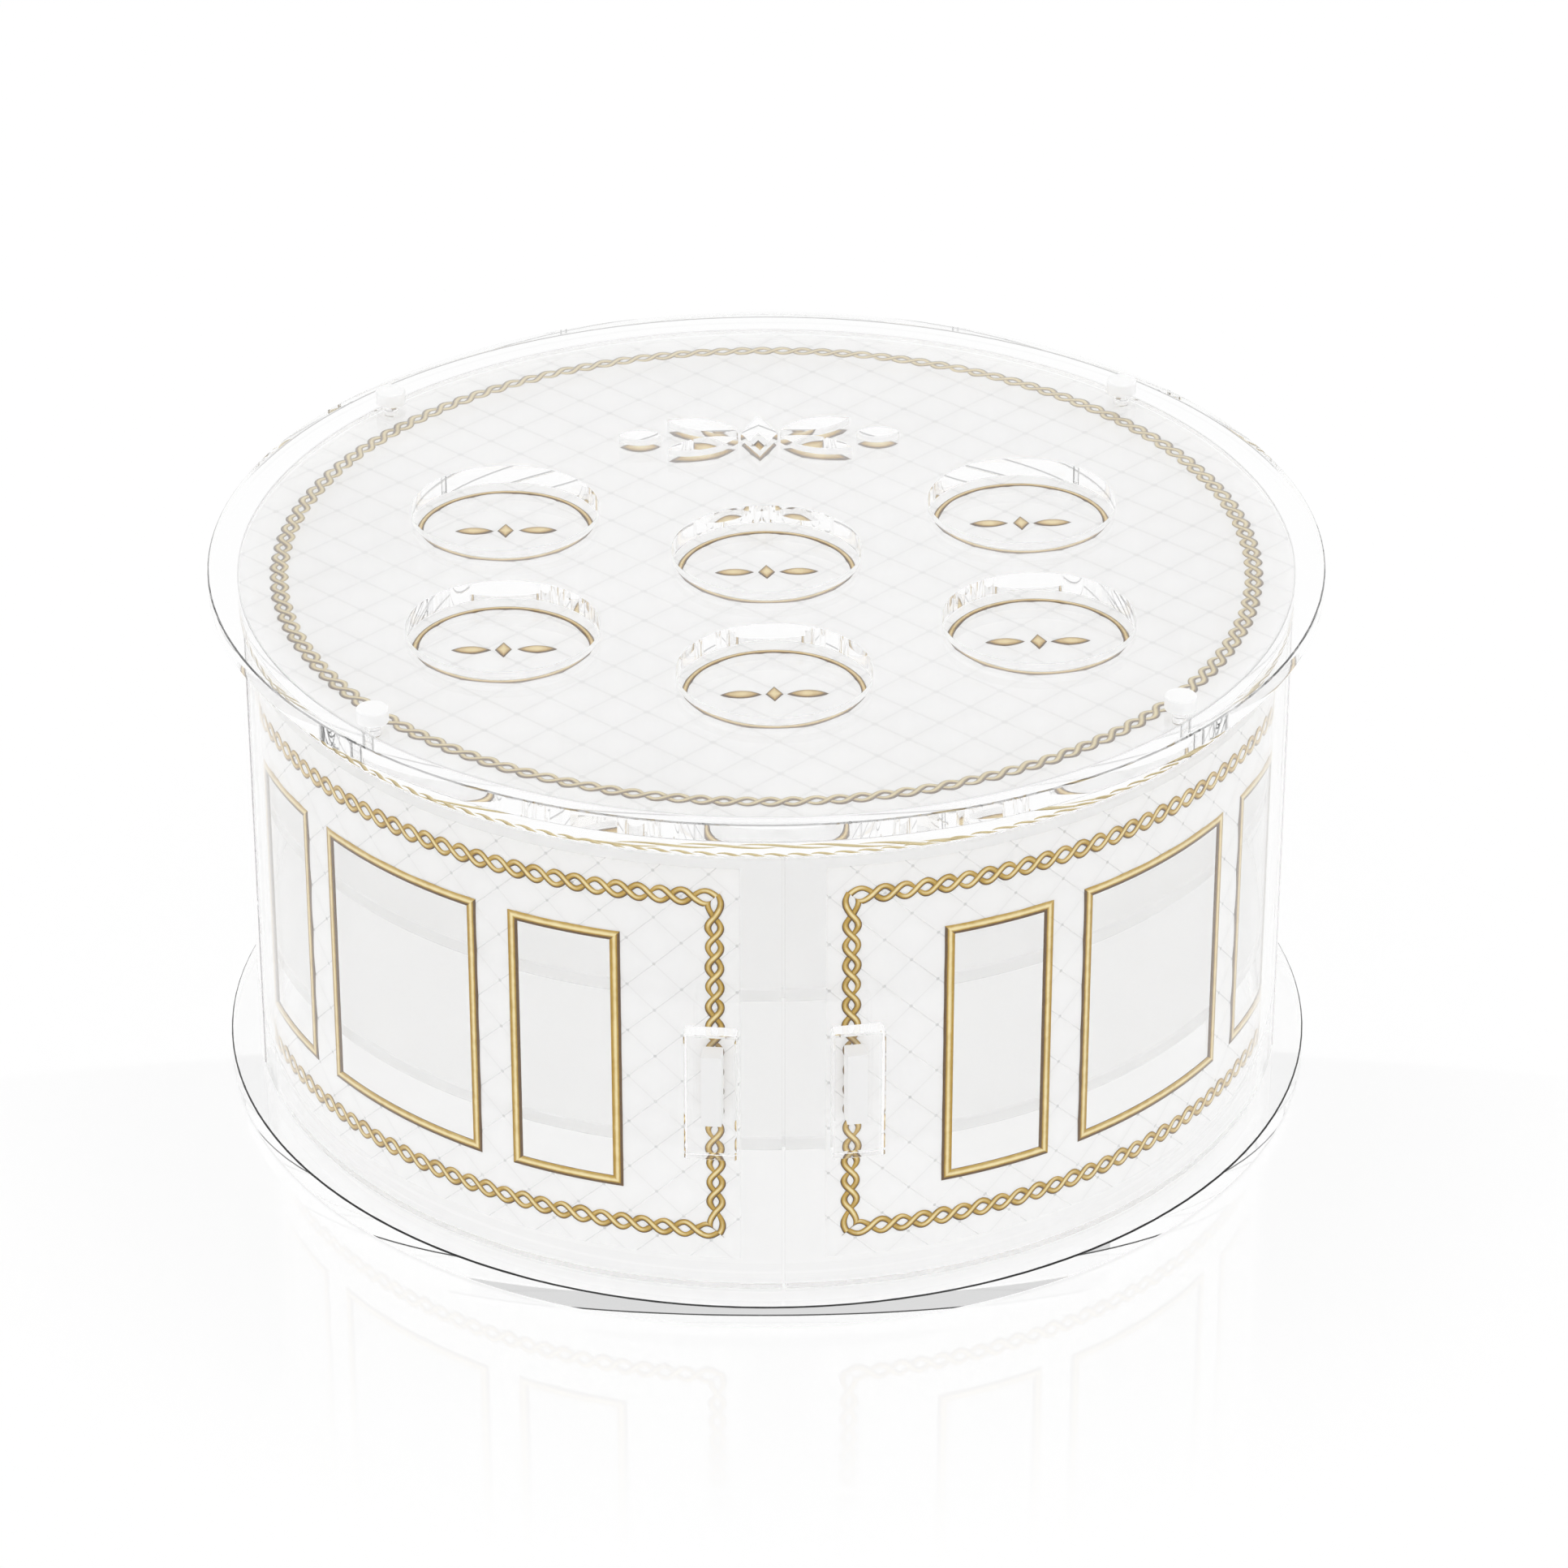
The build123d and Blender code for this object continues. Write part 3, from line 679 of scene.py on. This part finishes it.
def twist(path, phase, hand, middle, section, place, closed=False, shade=UNDER_SHADE):
    """Points, faces and painted shading of two strands that wind round a path of plane points.

    The section holds the swing from the path and half a strand's width and height. The hand, 1 or -1, is
    the way they wind."""
    reach, half_width, half_height = section
    ahead = np.gradient(path, axis=0)
    ahead /= np.hypot(*ahead.T)[:, None]
    left = np.stack([-ahead[:, 1], ahead[:, 0]], axis=1)
    points, faces, painted_shading = [], [], []
    around = np.linspace(0, 2 * pi, STRAND_SIDES, endpoint=False)[None, :]
    across, outward = np.cos(around), np.sin(around)
    rows = len(path)
    for strand in (0, 1):
        turn = phase + pi * strand
        swing = hand * reach * np.sin(turn)
        height = middle + STRAND_RISE * np.cos(turn)
        core = np.concatenate([path + left * swing[:, None], height[:, None]], axis=1)
        run = np.gradient(core, axis=0)
        run /= np.linalg.norm(run, axis=1)[:, None]
        side = np.cross(run, [0, 0, 1.0])
        side /= np.linalg.norm(side, axis=1)[:, None]
        out = np.cross(side, run)
        ring = (core[:, None] + half_width * across[..., None] * side[:, None]
                + half_height * outward[..., None] * out[:, None]).reshape(-1, 3)
        first = len(points) * rows * STRAND_SIDES
        faces += (grid_faces(rows, STRAND_SIDES, closed, True) + first).tolist()
        if not closed:
            faces += [list(range(first, first + STRAND_SIDES))[::-1],
                      list(range(first + (rows - 1) * STRAND_SIDES, first + rows * STRAND_SIDES))]
        points.append(place(ring[:, 0], ring[:, 1], ring[:, 2]))
        # Painted highlight on the crest, painted light on the upper side, painted shade where the strand goes
        # under
        over = np.repeat(0.5 + 0.5 * np.cos(turn), STRAND_SIDES)
        painted_highlight = outward ** 2 + UPPER_LIGHT * across * side[:, 1:2]
        painted_highlight = np.where(outward < BACK_START, BACK_SHINE, painted_highlight).ravel()
        painted_shading.append(painted_highlight * (1 - shade + shade * over))
    return np.concatenate(points), faces, np.clip(np.concatenate(painted_shading), 0, 1)


# %% [markdown]
# ### Twists on the doors
#
# On each door the twist runs from the hinge along the top, turns down near the seam, and runs back along
# the foot. It is made in three straight runs that are cut at the mitres, as a printed border is. The last
# loop of each run is stretched, so that its strands meet the next run's. The two doors are mirror images,
# so their twists turn opposite ways.

# %% Runs and mitres
CROSSINGS_UP = 17
ROW_PITCH = 6.95 * MM
MITRE_ROOM = 3.8 * MM
ROW_STRETCH = 0.83
UPRIGHT_STRETCH = 0.71
ROW_SECTION = (2.4 * MM, 1.18 * MM, 0.29 * MM)
UPRIGHT_SECTION = (2.07 * MM, 1.18 * MM, 0.29 * MM)
wall_twist_radius = wall_inside - SHEET_GAP - STRAND_RISE - ROW_SECTION[2]
BORDER_WIDTH = 6.4 * MM


def border_rows(node):
    """Heights of the lower and the upper row's middle line in a CAD border."""
    low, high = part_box(node)
    return low[2] + BORDER_WIDTH / 2, high[2] - BORDER_WIDTH / 2


def mitred(corners, outward, upright):
    """A place on the wall that cuts a run of twist at the mitre of each corner it ends in."""
    def place(along, height, radius):
        for (corner_along, corner_height), up in corners:
            side, rise = outward * (along - corner_along), up * (height - corner_height)
            if upright:
                height = corner_height + up * np.minimum(rise, -side)
            else:
                along = corner_along + outward * np.maximum(side, -rise)
        return on_wall(along, height, radius)
    return place


def stretched(turns, ends, share):
    """Turns counted along a run; before the first end and after the last one they go slower."""
    past = np.minimum(turns - ends[0], 0) + np.maximum(turns - ends[1], 0)
    return turns - (1 - share) * past


def run_of_twist(start, end, corner, pitch, hand, place, ends=(-np.inf, np.inf), share=1.0,
                 section=ROW_SECTION):
    """A straight run of twist, counted in turns from a corner along it, with its end loops stretched."""
    start, way = np.array(start), np.subtract(end, start)
    length = np.hypot(*way)
    count = max(2, int(round(length / pitch * SAMPLES_PER_CROSSING)) + 1)
    along = np.linspace(0, length, count)
    path = start + along[:, None] / length * way
    phase = pi * stretched((along - corner) / pitch, ends, share)
    return twist(path, phase, hand, wall_twist_radius, section, place)


def add_gold(name, parts, material, body, replaced):
    """A gold piece from several meshes, each with its points, faces and painted shading."""
    points, faces, painted_shading, shift = [], [], [], 0
    for part_points, part_faces, part_painted_shading in parts:
        points.append(part_points)
        faces += [[int(v) + shift for v in face] for face in part_faces]
        painted_shading.append(part_painted_shading)
        shift += len(part_points)
    points, painted_shading = np.concatenate(points), np.concatenate(painted_shading)
    add_piece(name, points, faces, material, body, replaced, painted_shading)


# %% Door twists
for side, body, middle, sign in wall_sides[:2]:
    node = side + "_border"
    spans = node_spans(node, middle)[0]
    foot, head = border_rows(node)
    hinge = arc(max(spans, key=abs))
    upright = arc(min(spans, key=abs)) + sign * BORDER_WIDTH / 2
    past = upright - sign * MITRE_ROOM
    length = abs(hinge - upright)
    pitch = (head - foot) / CROSSINGS_UP
    upper, lower = ((upright, head), 1), ((upright, foot), -1)
    top_row = run_of_twist((hinge, head), (past, head), length, ROW_PITCH, sign,
                           mitred([upper], sign, False), (-np.inf, -1), ROW_STRETCH)
    post = run_of_twist((upright, head + MITRE_ROOM), (upright, foot - MITRE_ROOM), MITRE_ROOM, pitch, sign,
                        mitred([upper, lower], sign, True), (1, CROSSINGS_UP - 1), UPRIGHT_STRETCH,
                        UPRIGHT_SECTION)
    foot_row = run_of_twist((past, foot), (hinge, foot), MITRE_ROOM, ROW_PITCH, sign,
                            mitred([lower], sign, False), (1, np.inf), ROW_STRETCH)
    add_gold("twist_" + side, [top_row, post, foot_row], wall_gold, body, node)
    print(node, "upright pitch mm", round(pitch / MM, 3))

# %% [markdown]
# ### Twists on the back wall and on the lid
#
# Two rows carry the border on round the back. The ring on the lid has an even number of crossings, so it
# closes. Its strands are a little deeper than the sheet, because on the real lid the gold is also seen
# through the rim, from the side. Seen so flat, they turn into fine dashes.

# %% Back twist
start, end = (arc(angle) for angle in node_spans("back_border", 180)[0])
back_middle = (end - start) / 2
rows = [run_of_twist((start, height), (end, height), back_middle, ROW_PITCH, 1, on_wall)
        for height in border_rows("back_border")]
add_gold("twist_back", rows, wall_gold, "cabinet", "back_border")

# %% Lid twist
LID_CROSSINGS = 142
LID_SECTION = (2.07 * MM, 1.3 * MM, 0.28 * MM)
LID_TWIST_INSET = 0.7 * MM
lid_twist_height = sheet_top - SHEET_GAP - STRAND_RISE - LID_SECTION[2]
ring_radius = sum(node_radii("top_border")) / 2 - LID_TWIST_INSET


def on_ring(along, inward, height):
    """Points beside the lid's ring: arc length along it, distance towards the middle, and height."""
    angle, radius = along / ring_radius, ring_radius - inward
    return np.stack([radius * np.sin(angle), -radius * np.cos(angle), height], axis=-1)


count = LID_CROSSINGS * SAMPLES_PER_CROSSING
along = np.linspace(0, 2 * pi * ring_radius, count, endpoint=False)
path = np.stack([along, np.zeros(count)], axis=1)
phase = pi * LID_CROSSINGS * np.arange(count) / count
ring = twist(path, phase, 1, lid_twist_height, LID_SECTION, on_ring, closed=True, shade=0.0)
add_gold("twist_lid", [ring], lid_gold, "cabinet", "top_border")

# %% [markdown]
# ## Gold mouldings
#
# The window frames and the dish rings are half-round mouldings. A frame is a section carried round a
# rectangle with mitred corners, and a ring is the same section carried round a circle. A curve with a bevel
# could do both, but its section would twist where the frame bends round the drum. So both are built flat
# and then put in place.

# %% Moulding helper
SECTION_POINTS = 9
ARCH_POWER = 0.7
FRAME_DEPTH = 0.38 * MM
# Painted shade at a frame's edges, and painted light that slants across it from its lit side
FRAME_EDGE_SHADE = 0.3
FRAME_LIGHT_SLANT = 0.5
FRAME_LAP = 0.85 * MM
FRAME_INSET = 2.6 * MM
frame_base = wall_inside - SHEET_GAP - GOLD_PROUD
FRAME_STEP_ANGLE = 1.2
CORNER_STEP = 0.05 * MM


def moulding(loops, base, rise, depth, place, edge=0.0, facing=0.0):
    """A closed half-round moulding from plane loops, outer edge to inner edge, on a height of base.

    The painted shading at its edges is edge; facing says how far the outer side is painted lit at each
    point of a loop."""
    share = np.linspace(0, 1, len(loops))
    arch = np.sin(pi * share) ** ARCH_POWER
    rows = [place(loop[:, 0], loop[:, 1], np.full(len(loop), base + rise * lift))
            for loop, lift in zip(loops, arch)]
    painted_shading = [edge + (1 - edge) * sin(pi * s) ** 2 + FRAME_LIGHT_SLANT * (1 - 2 * s) * facing for s in share]
    painted_shading = [np.zeros(len(loop)) + shine for loop, shine in zip(loops, painted_shading)]
    back = ((loops[-1], 0.0), (loops[-2], BACK_SHINE), (loops[1], BACK_SHINE), (loops[0], 0.0))
    for loop, shine in back:
        rows.append(place(loop[:, 0], loop[:, 1], np.full(len(loop), base - depth)))
        painted_shading.append(np.full(len(loop), shine))
    return np.concatenate(rows), grid_faces(len(rows), len(loops[0]), True, True), np.concatenate(painted_shading)


def box_loop(left, right, foot, head, inset, lit):
    """A closed rectangle of plane points that can bend round the drum, and how far its sides are painted lit.
    """
    count = max(2, int(round((right - left) / arc(FRAME_STEP_ANGLE))))
    run = np.linspace(left + inset, right - inset, count + 1)
    foot, head = foot + inset, head - inset
    post = np.array([foot + CORNER_STEP, head - CORNER_STEP])
    rails = [(run, np.full(count + 1, foot)), (run[[-1, -1]], post),
             (run[::-1], np.full(count + 1, head)), (run[[0, 0]], post[::-1])]
    sides = [np.stack(rail, axis=1) for rail in rails]
    facing = [np.full(len(side), way) for side, way in zip(sides, (-1.0, lit, 1.0, -lit))]
    return np.concatenate(sides), np.concatenate(facing)


# %% [markdown]
# ### Window frames
#
# Each frame stands just inside the clear wall, over the edge of the opening in the quilted sheet. It is
# proud of the puffs all round, so its outline stays straight. Its colour carries painted light: the rails
# are painted as lit from above, and the posts of the doors as lit from the hinge's side.

# %% Window frames
# POST_LIGHT: painted light across the posts, brighter on the hinge's side
POST_LIGHT = 0.6
insets = np.linspace(-FRAME_LAP, FRAME_INSET, SECTION_POINTS)
for side, body, middle, sign in wall_sides:
    node = side + "_frames"
    parts = []
    for start, end in node_spans(node, middle):
        box = (arc(start), arc(end), frame_foot, frame_head)
        loops, facing = zip(*(box_loop(*box, inset, sign * POST_LIGHT) for inset in insets))
        parts.append(moulding(loops, frame_base, GOLD_PROUD, FRAME_DEPTH, on_wall, FRAME_EDGE_SHADE, facing[0]))
    add_gold("frames_" + side, parts, wall_gold, body, node)

# %% [markdown]
# ### Dish rings
#
# A gold ring lies under each well, a little smaller than it. The rings' middles are read from the CAD
# rings.

# %% Ring sizes
RING_POINTS = 96
RING_RISE = 0.4 * MM
RING_DEPTH = 0.08 * MM
RING_WIDTH = 2.6 * MM
ring_base = sheet_top - SHEET_GAP - RING_RISE


def loose_parts(node):
    """Low and high corners of each separate solid of a CAD node, from places that share faces."""
    points = node_points(node)
    group, spot = np.unique(np.round(points, 6), axis=0, return_index=True, return_inverse=True)[1:]
    spot = spot.ravel()
    faces = [spot[list(polygon.vertices)] for polygon in nodes[node].data.polygons]
    before = None
    while not np.array_equal(group, before):
        before = group.copy()
        for face in faces:
            group[face] = group[face].min()
    parts = [points[group[spot] == first] for first in np.unique(group)]
    return [(part.min(0), part.max(0)) for part in parts]


# %% Dish rings
ring_boxes = loose_parts("dish_rings")
ring_turn = np.linspace(0, 2 * pi, RING_POINTS, endpoint=False)
ring_way = np.stack([np.cos(ring_turn), np.sin(ring_turn)], axis=1)
insets = np.linspace(0, RING_WIDTH, SECTION_POINTS)
parts = []
ring_middles = []
for low, high in ring_boxes:
    middle = (low + high) / 2
    ring_middles.append(middle[:2])
    outer = (high[0] - low[0]) / 2
    loops = [middle[:2] + (outer - inset) * ring_way for inset in insets]
    parts.append(moulding(loops, ring_base, RING_RISE, RING_DEPTH, on_lid))
add_gold("rings_lid", parts, ring_gold, "cabinet", "dish_rings")
print("rings", np.round(ring_middles, 4).tolist())

# %% [markdown]
# ### Lozenge and leaves
#
# Gold lies under the tray's cut-out ornament, and a smaller lozenge with two leaves lies in each ring. A
# leaf is the lens between two arcs. Each shape is a low crowned cushion: its outline, drawn in towards its
# middle line.

# %% Ornament helpers
# Share of the outline, share of the rise, and painted shading: painted shade at the outline, light on top
CROWN_STEPS = ((1.0, -0.2, 0.0), (1.0, 0.0, 0.0), (0.93, 0.5, 0.1), (0.82, 0.8, 0.45), (0.6, 0.95, 0.85),
               (0.2, 1.0, 1.0))
ORNAMENT_RISE = 0.4 * MM


def lens(length, width, count=15):
    """Outline of a pointed leaf along x, between two arcs."""
    half = length / 2
    bulge = width / 2
    radius = (half ** 2 + bulge ** 2) / (2 * bulge)
    x = np.linspace(-half, half, count)
    y = np.sqrt(np.maximum(radius ** 2 - x ** 2, 0)) - (radius - bulge)
    return np.concatenate([np.stack([x, -y], axis=1), np.stack([x, y], axis=1)[-2:0:-1]])


def lozenge(width, height):
    """Outline of a diamond shape."""
    return np.array([(width / 2, 0), (0, height / 2), (-width / 2, 0), (0, -height / 2)])


def cushion(outline, middle, slant=0.0):
    """A crowned solid over an outline, turned by slant and moved to middle."""
    turn = np.array([[cos(slant), sin(slant)], [-sin(slant), cos(slant)]])
    rows, painted_shading = [], []
    base = sheet_top - SHEET_GAP - ORNAMENT_RISE
    for share, lift, shine in CROWN_STEPS:
        flat = outline * share @ turn + middle
        rows.append(on_lid(flat[:, 0], flat[:, 1], base + ORNAMENT_RISE * lift))
        painted_shading.append(np.full(len(flat), shine))
    faces = grid_faces(len(rows), len(outline), False, True).tolist()
    last = (len(rows) - 1) * len(outline)
    faces += [list(range(len(outline)))[::-1], list(range(last, last + len(outline)))]
    return np.concatenate(rows), faces, np.concatenate(painted_shading)


# %% Large ornament
TITLE_MIDDLE = np.array([0.0, 88.0 * MM])
LOZENGE = (13.0 * MM, 27.0 * MM)
LEAF = (26.5 * MM, 9.0 * MM)
END_LEAF = (15.0 * MM, 7.5 * MM)
LEAF_GAP = 1.5 * MM
LEAF_SLANT = radians(20)
leaf_start = LOZENGE[0] / 2 + LEAF_GAP
leaf_reach = leaf_start + LEAF[0] / 2
end_reach = leaf_start + LEAF[0] + END_LEAF[0] / 2

parts = [cushion(lozenge(*LOZENGE), TITLE_MIDDLE)]
for side in (-1, 1):
    for tilt in (-LEAF_SLANT, LEAF_SLANT):
        place = TITLE_MIDDLE + leaf_reach * np.array([side * cos(tilt), sin(tilt)])
        parts.append(cushion(lens(*LEAF), place, side * tilt))
    parts.append(cushion(lens(*END_LEAF), TITLE_MIDDLE + (side * end_reach, 0.0)))
add_gold("title_leaves", parts, ring_gold, "cabinet", "title_inlay")

# %% Small ornaments
SMALL_LOZENGE = (6.0 * MM, 11.0 * MM)
SMALL_LEAF = (14.0 * MM, 5.5 * MM)
SMALL_GAP = 1.0 * MM
small_reach = SMALL_LOZENGE[0] / 2 + SMALL_GAP + SMALL_LEAF[0] / 2
parts = []
for middle in ring_middles:
    parts.append(cushion(lozenge(*SMALL_LOZENGE), middle))
    for side in (-1, 1):
        parts.append(cushion(lens(*SMALL_LEAF), middle + (side * small_reach, 0.0)))
add_gold("ring_leaves", parts, ring_gold, "cabinet", None)

# %% [markdown]
# ## Stage
#
# The object stands on a glossy white table in a white tent. The tent is a white world of strength one. The
# table looks white in the picture, keeps a weak shadow, and mirrors the plate faintly near its rim. Light
# passes many clear faces before it leaves the drum, so the bounce limits are high: with low ones, thick
# edges turn black.

# %% World and bounces
world = bpy.data.worlds.new("tent")
world.use_nodes = True
background = world.node_tree.nodes["Background"]
background.inputs["Color"].default_value = linear("#FFFFFF")
background.inputs["Strength"].default_value = 1.0
scene.world = world
scene.view_settings.view_transform = "Standard"
scene.cycles.max_bounces = 256
scene.cycles.transmission_bounces = 128
scene.cycles.glossy_bounces = 128
scene.cycles.diffuse_bounces = 24
scene.cycles.blur_glossy = 0.0
print("bounce limit", scene.cycles.max_bounces)

# %% Table
TABLE_SIZE = 8.0
TABLE_GAP = 0.2 * MM
SHADOW_BELOW, SHADOW_BESIDE = 0.3, 0.1
SHADOW_NEAR, SHADOW_FAR = 0.18, 0.195
MIRROR_WEIGHT = 0.1
MIRROR_ROUGHNESS = 0.01
MIRROR_NEAR, MIRROR_FAR = 0.19, 0.34

table_white, tree = new_material("white_table")
rays = add_node(tree, "ShaderNodeLightPath")
seen = add_node(tree, "ShaderNodeMath", {
    0: rays.outputs["Is Camera Ray"], 1: rays.outputs["Is Glossy Ray"]}, operation="MAXIMUM")
seen = add_node(tree, "ShaderNodeMath", {
    0: seen.outputs[0], 1: rays.outputs["Is Transmission Ray"]}, operation="MAXIMUM")
place = add_node(tree, "ShaderNodeTexCoord")
away_from_axis = add_node(tree, "ShaderNodeVectorMath", {0: place.outputs["Object"]}, operation="LENGTH")
share = add_node(tree, "ShaderNodeMapRange", {
    0: away_from_axis.outputs["Value"], 1: SHADOW_NEAR, 2: SHADOW_FAR,
    3: 1 - SHADOW_BELOW, 4: 1 - SHADOW_BESIDE}, **SMOOTH)
lit = add_node(tree, "ShaderNodeMath", {0: seen.outputs[0], 1: share.outputs[0]}, operation="MULTIPLY")
matte = add_node(tree, "ShaderNodeBsdfDiffuse", {"Color": linear("#FDFDFD")})
glow = add_node(tree, "ShaderNodeEmission", {"Color": linear("#FFFFFF"), "Strength": 1.0})
white = add_node(tree, "ShaderNodeMixShader", {0: lit.outputs[0], 1: matte.outputs[0], 2: glow.outputs[0]})
fade = add_node(tree, "ShaderNodeMapRange", {
    0: away_from_axis.outputs["Value"], 1: MIRROR_NEAR, 2: MIRROR_FAR,
    3: MIRROR_WEIGHT, 4: 0.0}, **SMOOTH)
mirror = add_node(tree, "ShaderNodeBsdfGlossy", {"Color": linear("#FFFFFF"), "Roughness": MIRROR_ROUGHNESS})
top = add_node(tree, "ShaderNodeMixShader", {0: fade.outputs[0], 1: white.outputs[0], 2: mirror.outputs[0]})
add_node(tree, "ShaderNodeOutputMaterial", {"Surface": top.outputs[0]})

half = TABLE_SIZE / 2
table_mesh = bpy.data.meshes.new("table")
table_corners = [(-half, -half, 0), (half, -half, 0), (half, half, 0), (-half, half, 0)]
table_mesh.from_pydata(table_corners, [], [(0, 1, 2, 3)])
table_mesh.materials.append(table_white)
table = bpy.data.objects.new("table", table_mesh)
table.location.z = -TABLE_GAP
scene.collection.objects.link(table)
print("table laid")

# %% [markdown]
# ### Top light
#
# The lid is the brightest white in the photograph, brighter than the walls, so some more light comes from
# above.

# %% Top light
LIGHT_SIZE = 2.0
LIGHT_HEIGHT = 2.5
LIGHT_POWER = 4.0
light_data = bpy.data.lights.new("top_light", "AREA")
light_data.size = LIGHT_SIZE
light_data.energy = LIGHT_POWER
light = bpy.data.objects.new("top_light", light_data)
light.location.z = LIGHT_HEIGHT
scene.collection.objects.link(light)
print("top light hung")

# %% [markdown]
# ### Grey card
#
# The photograph shows a grey band in the base's front rim. The rim carries light through the plate like a
# pipe, so the band is something grey that stood far behind the plate. A card that only clear pieces see
# stands in for it.

# %% Grey card
CARD_DISTANCE = 20.0
CARD_LOW, CARD_HIGH = radians(32), radians(38)
CARD_COLUMNS = 25
CARD_CLOUD = 5.0
CARD_LEFT, CARD_RIGHT = radians(-29.5), radians(27.5)
card_grey, tree = new_material("grey_card")
place = add_node(tree, "ShaderNodeTexCoord")
cloud = add_node(tree, "ShaderNodeTexNoise", {"Vector": place.outputs["Object"], "Scale": 1 / CARD_CLOUD})
shade = add_node(tree, "ShaderNodeMix", {
    0: cloud.outputs[0], MIX_A: linear("#D4D4D4"), MIX_B: linear("#DCDCDC")}, **COLOUR)
glow = add_node(tree, "ShaderNodeEmission", {"Color": shade.outputs[MIX_RESULT], "Strength": 1.0})
add_node(tree, "ShaderNodeOutputMaterial", {"Surface": glow.outputs[0]})
corners = [CARD_DISTANCE * np.array([cos(up) * sin(turn), cos(up) * cos(turn), sin(up)])
           for up in (CARD_LOW, CARD_HIGH) for turn in np.linspace(CARD_LEFT, CARD_RIGHT, CARD_COLUMNS)]
card_mesh = bpy.data.meshes.new("card")
card_mesh.from_pydata(corners, [], grid_faces(2, CARD_COLUMNS).tolist())
card_mesh.materials.append(card_grey)
card = bpy.data.objects.new("card", card_mesh)
scene.collection.objects.link(card)
card.visible_camera = False
card.visible_diffuse = False
card.visible_shadow = False
print("grey card placed")
